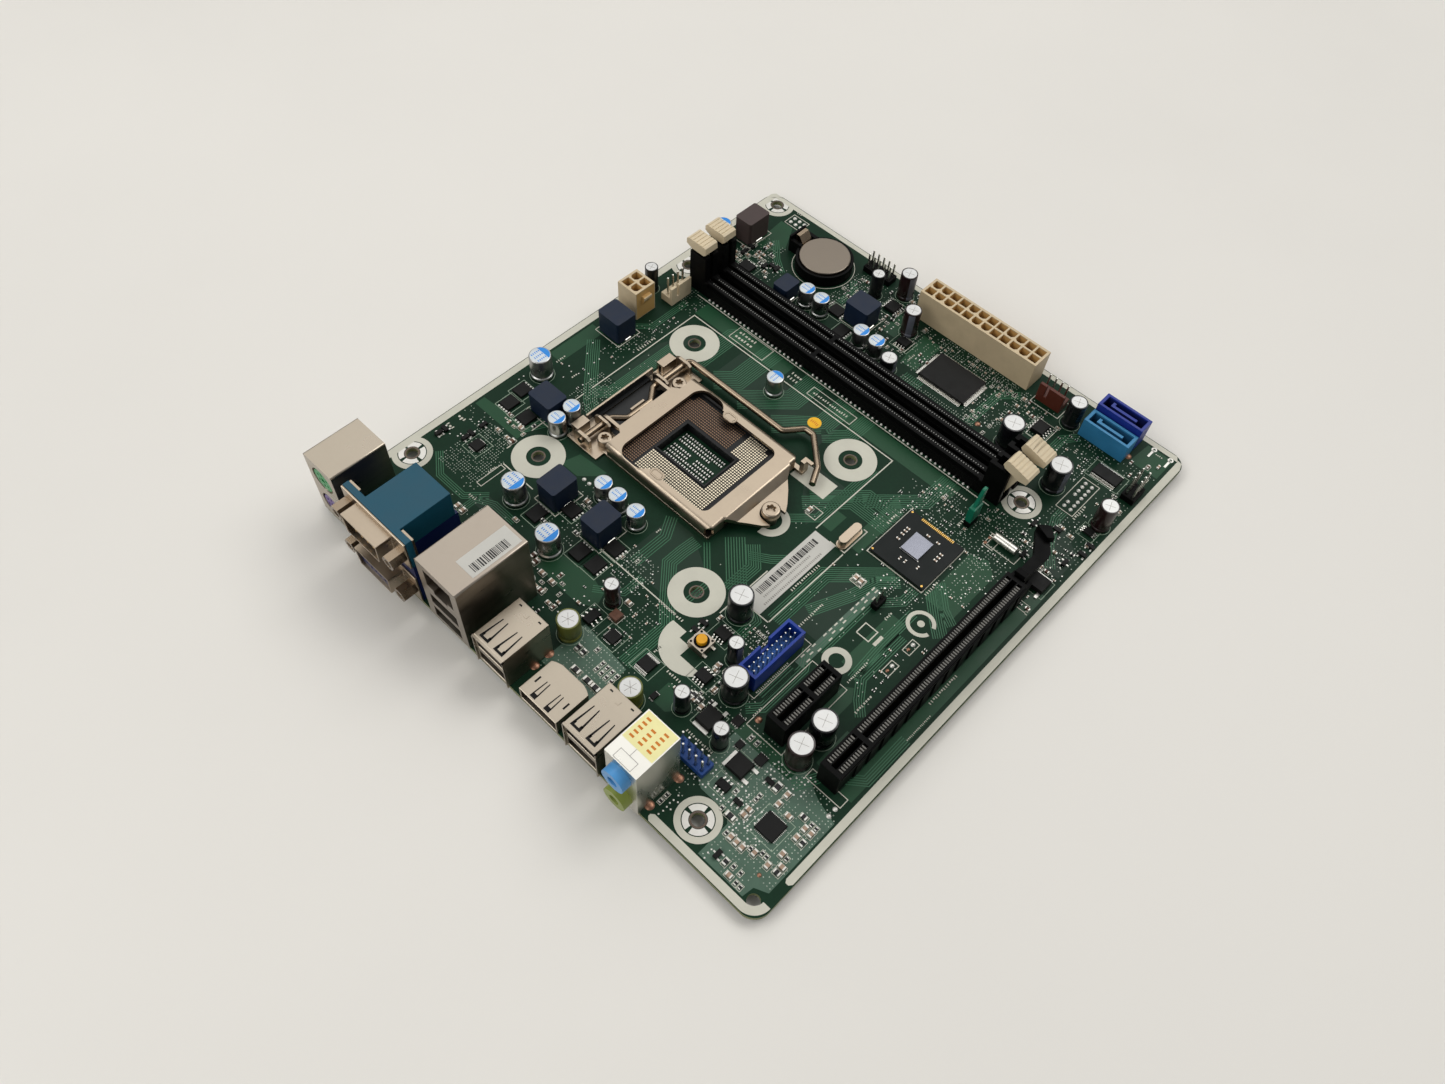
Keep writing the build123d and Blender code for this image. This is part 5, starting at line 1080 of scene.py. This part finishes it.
# ---- Expansion slots -------------------------------------------------------------------------------
for name, u in PCIE_U.items():
    node = f"pcie_{name}_slot"
    paint(BLACK, 0.12, node)
    _, _, v0, v1, _, z1 = node_box(node)
    if name == "x16":
        v1 = 131.5
    ribs = Piece(f"pcie_{name}_windows", [RIB_SHEEN, BLACK, GLINT])
    for i in range(int(v1 - v0 - 3.4)):
        v = v0 + 2.2 + i
        if abs(v - SLOT_KEY_V) < 1.0:
            continue
        for side in (-1, 1):
            inner, outer = sorted((u + side * 1.28, u + side * 2.9))
            # The ribs of black moulding are painted light grey, a painted sheen on their tops.
            ribs.box((inner, outer), (v - 0.2, v + 0.2), (z1 - 2.2, z1 - 0.06))
            inner, outer = sorted((u + side * 1.5, u + side * 2.1))
            ribs.box((inner, outer), (v + 0.36, v + 0.64), (z1 - 2.2, z1 - 1.5), 2)
    if name == "x16":
        v = 50.0
        while v < v1 - 2:
            ribs.box((u + 3.6, u + 4.1), (v, v + 3.6), (0.2, 9.6), 1)
            v += 6.0
        ribs.box((u + 3.6, u + 3.9), (v0 + 1, v1 - 1), (9.2, 10.2), 1)
    ribs.done(slot="slot_black")
paint(BLACK, 0.25, "pcie_x16_latch")

# ---- Headers ---------------------------------------------------------------------------------------
paint(POWER_MAIN, 0.14, "main_power_header")
paint(POWER_CPU, 0.14, "cpu_power_header")
paint(BRONZE, 0.1, "power_header_pins")
paint(IVORY, 0.15, "cpu_fan_header")
paint(FAN_BROWN, 0.15, "chassis_fan_header")
paint(BLACK, 0.25, "pin_headers", "battery_holder")
paint(HEADER_BLUE, 0.3, "audio_header")
paint(ROYAL, 0.15, "usb3_header")
paint(TIN, 0.1, "header_pins")
paint(JUMPER, 0.25, "jumper_cap")
paint(AZURE, 0.15, "sata_port_light")
paint(SATA_NAVY, 0.15, "sata_port_dark")
paint(SHELL_GREY, 0.2, "reset_switch_body")
paint(YELLOW, 0.2, "reset_plunger")
paint(NICKEL_DARK, 0.1, "battery_clip")
paint(COIN, None, "coin_cell")

switch = Piece("reset_switch_trim", [BLACK, TIN])
switch.ring(126.4, 49.6, 1.76, 2.5, 3.53, 0, steps=32)
for i in (-1, 1):
    for j in (-1, 1):
        switch.disc(126.4 + i * 2.3, 49.6 + j * 2.3, 0.42, 3.53, 0, 12)
        switch.block(126.4 + i * 3.4, 49.6 + j * 1.9, 0.0, (0.9, 0.9, 0.6), 1)
switch.done(slot="reset_grey")
inner = Piece("usb3_header_floor", [ROYAL_LIGHT])
u0, u1, v0, v1, _, _ = node_box("usb3_header")
inner.box((u0 + 1.0, u1 - 1.0), (v0 + 1.2, v1 - 1.2), (2.2, 2.6), 0)
inner.done(slot="blue_royal")

# ---- Rear ports ------------------------------------------------------------------------------------
paint(SHELL, 0.25, "ps2_shell")
paint(JACK_PURPLE, 0.1, "ps2_keyboard_socket")
paint(JACK_GREEN, 0.1, "ps2_mouse_socket")
paint(NAVY, 0.2, "vga_housing")
paint(TEAL, 0.2, "serial_housing")
paint(NICKEL, 0.2, "dsub_shells")
paint(NICKEL_DARK, 0.15, "jack_screws")
paint(GOLD, None, "serial_pins")
paint(SHELL_GREY, 0.25, "lan_usb_shell")
paint(SHELL, 0.2, "usb_stack_shells", "displayport_shell")
paint(INSERT, 0.08, "port_inserts")
paint(SHIELD, 0.2, "audio_jack_shell")
paint(JACK_OLIVE, 0.3, "audio_jack_lower")
paint(JACK_BLUE, 0.3, "audio_jack_upper")
paint(SOLDER, None, "solder_tails")

trim = Piece("port_trim", [HOLE, SHELL, PAPER, INK, PALE_LABEL, FAINT_INK, STICKER_INK])


def bars(piece, u, v, z, slot, widths, gaps):
    """Plain bars of uneven width, which stand for a bar code."""
    at = v[0]
    while at < v[1]:
        wide = RNG.choice(widths)
        piece.rect(u, (at, at + wide), z, slot)
        at += wide + RNG.choice(gaps)


def slits(corners, z):
    """A pair of slits either side of a spring finger: corners are (middle, distance from it, v)."""
    for way in (-1, 1):
        slit = [(middle + way * away, v) for middle, away, v in corners]
        trim.sheet(slit[::-way], z)


for mid in (89.3, 128.2):
    for side in (-1, 1):
        a = mid + side * 3.1
        trim.sheet([(a - 1.95, 0.5), (a + 1.95, 0.5), (a + 1.8, 2.3), (a - 1.8, 2.3)], PORT_TOP)
        slits(((a, 1.85, 1.6), (a, 1.15, 1.6), (a, 0.85, 8.9), (a, 1.2, 8.9)), PORT_TOP)
        trim.rect((a - 0.9, a + 0.9), (1.3, 2.4), 15.65, 1)
        trim.sheet([(mid + side * 4.2 - 0.6, 15.2), (mid + side * 4.2 + 0.6, 15.2),
                    (mid + side * 4.2 + 0.5, 15.7), (mid + side * 4.2 - 0.5, 15.7)], PORT_TOP)
    trim.block(mid - 0.2, 14.2, 15.6, (1.3, 1.4, 0.12), 1)
    for low, high, foot in ((-6.9, 6.9, 15.0), (-6.9, -6.5, 0.3), (6.5, 6.9, 0.3)):
        trim.box((mid + low, mid + high), (-1.0, -0.3), (foot, 15.7), 1, True)
for a in (103.1, 115.3):
    trim.rect((a - 0.3, a + 0.3), (4.2, 6.6), DISPLAY_TOP)
for a in (106.3, 112.1):
    trim.sheet([(a - 1.1, 0.4), (a + 1.1, 0.4), (a + 1.0, 1.9), (a - 1.0, 1.9)], DISPLAY_TOP)
    slits(((a, 1.05, 1.5), (a, 0.6, 1.5), (a, 0.45, 6.8), (a, 0.75, 6.8)), DISPLAY_TOP)
trim.rect((68.6, 76.4), (7.3, 25.4), 29.84, 2)
bars(trim, (72.2, 75.4), (9.0, 22.6), 29.86, 3, (0.18, 0.3, 0.5), (0.22, 0.35, 0.5))
trim.rect((139.5, 150.8), (5.2, 15.2), AUDIO_TOP, 4)
for row in range(3):
    for i in range(5 - row % 2):
        trim.rect((140.6 + row * 3.3, 142.2 + row * 3.3), (6.6 + i * 1.6, 7.3 + i * 1.6), 26.44, 6)
trim.outline((142.0, 148.4), (-0.4, 2.6), 0.16, AUDIO_TOP, 5)
trim.stroke([(145.2, 2.6), (145.2, 5.2)], 0.16, AUDIO_TOP, 5)
trim.done(slot="shell_silver")

blob = Piece("glue_bead", [PAPER])
blob.dome(71.3, 28.0, 2.4, 1.4, 0.0, 0, 20)
blob.done(smooth=60, slot="tin")

# ---- Labels ----------------------------------------------------------------------------------------
labels = Piece("board_labels", [PAPER, INK, FAINT_INK, STICKER, STICKER_INK])
labels.box((122.7, 131.3), (70.4, 106.6), (0.02, 0.12), 0)
bars(labels, (124.2, 126.7), (76.0, 103), 0.14, 1, (0.2, 0.3, 0.3, 0.55, 0.8), (0.2, 0.3, 0.45))
for u, start, stop in ((127.6, 76, 98), (129.6, 74, 101)):
    at = start
    while at < stop:
        size = RNG.uniform(0.25, 0.5)
        labels.rect((u, u + 0.75), (at, at + size), 0.14, 2)
        at += size + 0.35
labels.lathe(92.4, 140.7, [(2.5, 0.02), (2.5, 0.12), (2.4, 0.14)], [3, 3, 3], 32)
for i in range(5):
    labels.block(91.0 + i * 0.7, 140.7 + 0.2 * math.sin(i), 0.14, (0.34, 1.1, 0.02), 4)
labels.done(slot="board_green")

# ---- Under the board -------------------------------------------------------------------------------
under = Piece("underside_solder", [SOLDER])


def tail(u, v, half, tip):
    """A pointed solder joint that hangs from the board's underside."""
    foot = [(u + i * half, v + j * half, DATUM[2] - 0.01) for i, j in ((-1, -1), (1, -1), (1, 1), (-1, 1))]
    under.add(foot + [(u, v, tip)], [(1, 0, 4), (2, 1, 4), (3, 2, 4), (0, 3, 4)])


for v in DIMM_V.values():
    for i in range(DIMM_TAILS):
        for side in (-1.2, 1.2):
            tail(DIMM_TAIL_U + 2 * i, v + side, 0.45, -2.5)
for u, count in ((PCIE_U["x16"], 80), (PCIE_U["x1"], 20)):
    for i in range(count):
        tail(u + (-1.2, 1.2)[i % 2], 44.5 + i, 0.4, -2.4)
under.done(slot="tin")

# ---- Floor, light and camera -----------------------------------------------------------------------
FLOOR_HALF = 6.0
mesh = bpy.data.meshes.new("floor")
mesh.from_pydata([(i * FLOOR_HALF, j * FLOOR_HALF, CAD_BOX[0][2])
                  for i, j in ((-1, -1), (1, -1), (1, 1), (-1, 1))], [], [(0, 1, 2, 3)])
mesh.materials.append(FLOOR)
floor = bpy.data.objects.new("floor", mesh)
bpy.context.scene.collection.objects.link(floor)


def softbox(name, position, target, size, power, colour):
    light = bpy.data.lights.new(name, "AREA")
    light.shape = "RECTANGLE"
    light.size, light.size_y = size
    light.energy = power
    light.color = colour
    lamp = bpy.data.objects.new(name, light)
    lamp.location = position
    lamp.rotation_euler = (Vector(target) - Vector(position)).to_track_quat("-Z", "Y").to_euler()
    bpy.context.scene.collection.objects.link(lamp)


MIDDLE, WARM = (-0.07, 0.09, 0), (1.0, 0.992, 0.975)
softbox("key", (0.55, 1.85, 2.5), MIDDLE, (2.0, 1.6), 35.0, WARM)
softbox("left", (-1.5, -1.2, 2.0), MIDDLE, (1.4, 1.2), 17.0, WARM)
softbox("window", (-0.62, 0.55, 1.05), MIDDLE, (1.3, 1.0), 5.0, (1.0, 0.992, 0.98))
softbox("rear", (-0.15, -1.0, 0.8), (-0.07, 0.05, 0.01), (1.0, 0.6), 4.0, (1.0, 0.995, 0.985))

world = bpy.data.worlds.new("studio")
world.use_nodes = True
background = world.node_tree.nodes["Background"].inputs
background["Color"].default_value = (0.85, 0.85, 0.84, 1.0)
background["Strength"].default_value = 0.37
bpy.context.scene.world = world
bpy.context.scene.view_settings.view_transform = "Standard"

lens = bpy.data.cameras.new("camera")
lens.lens = 27.895
lens.sensor_width = 36.0
lens.sensor_fit = "HORIZONTAL"
lens.clip_start = 0.01
camera = bpy.data.objects.new("camera", lens)
CAMERA_AT = Vector((0.06973, -0.08221, 0.30312))
TILT, ROLL, HEADING = 33.57, -2.553, 43.86
turn = Euler([math.radians(angle) for angle in (TILT, ROLL, HEADING)])
camera.matrix_world = Matrix.LocRotScale(CAMERA_AT, turn, None)
bpy.context.scene.collection.objects.link(camera)
bpy.context.scene.camera = camera
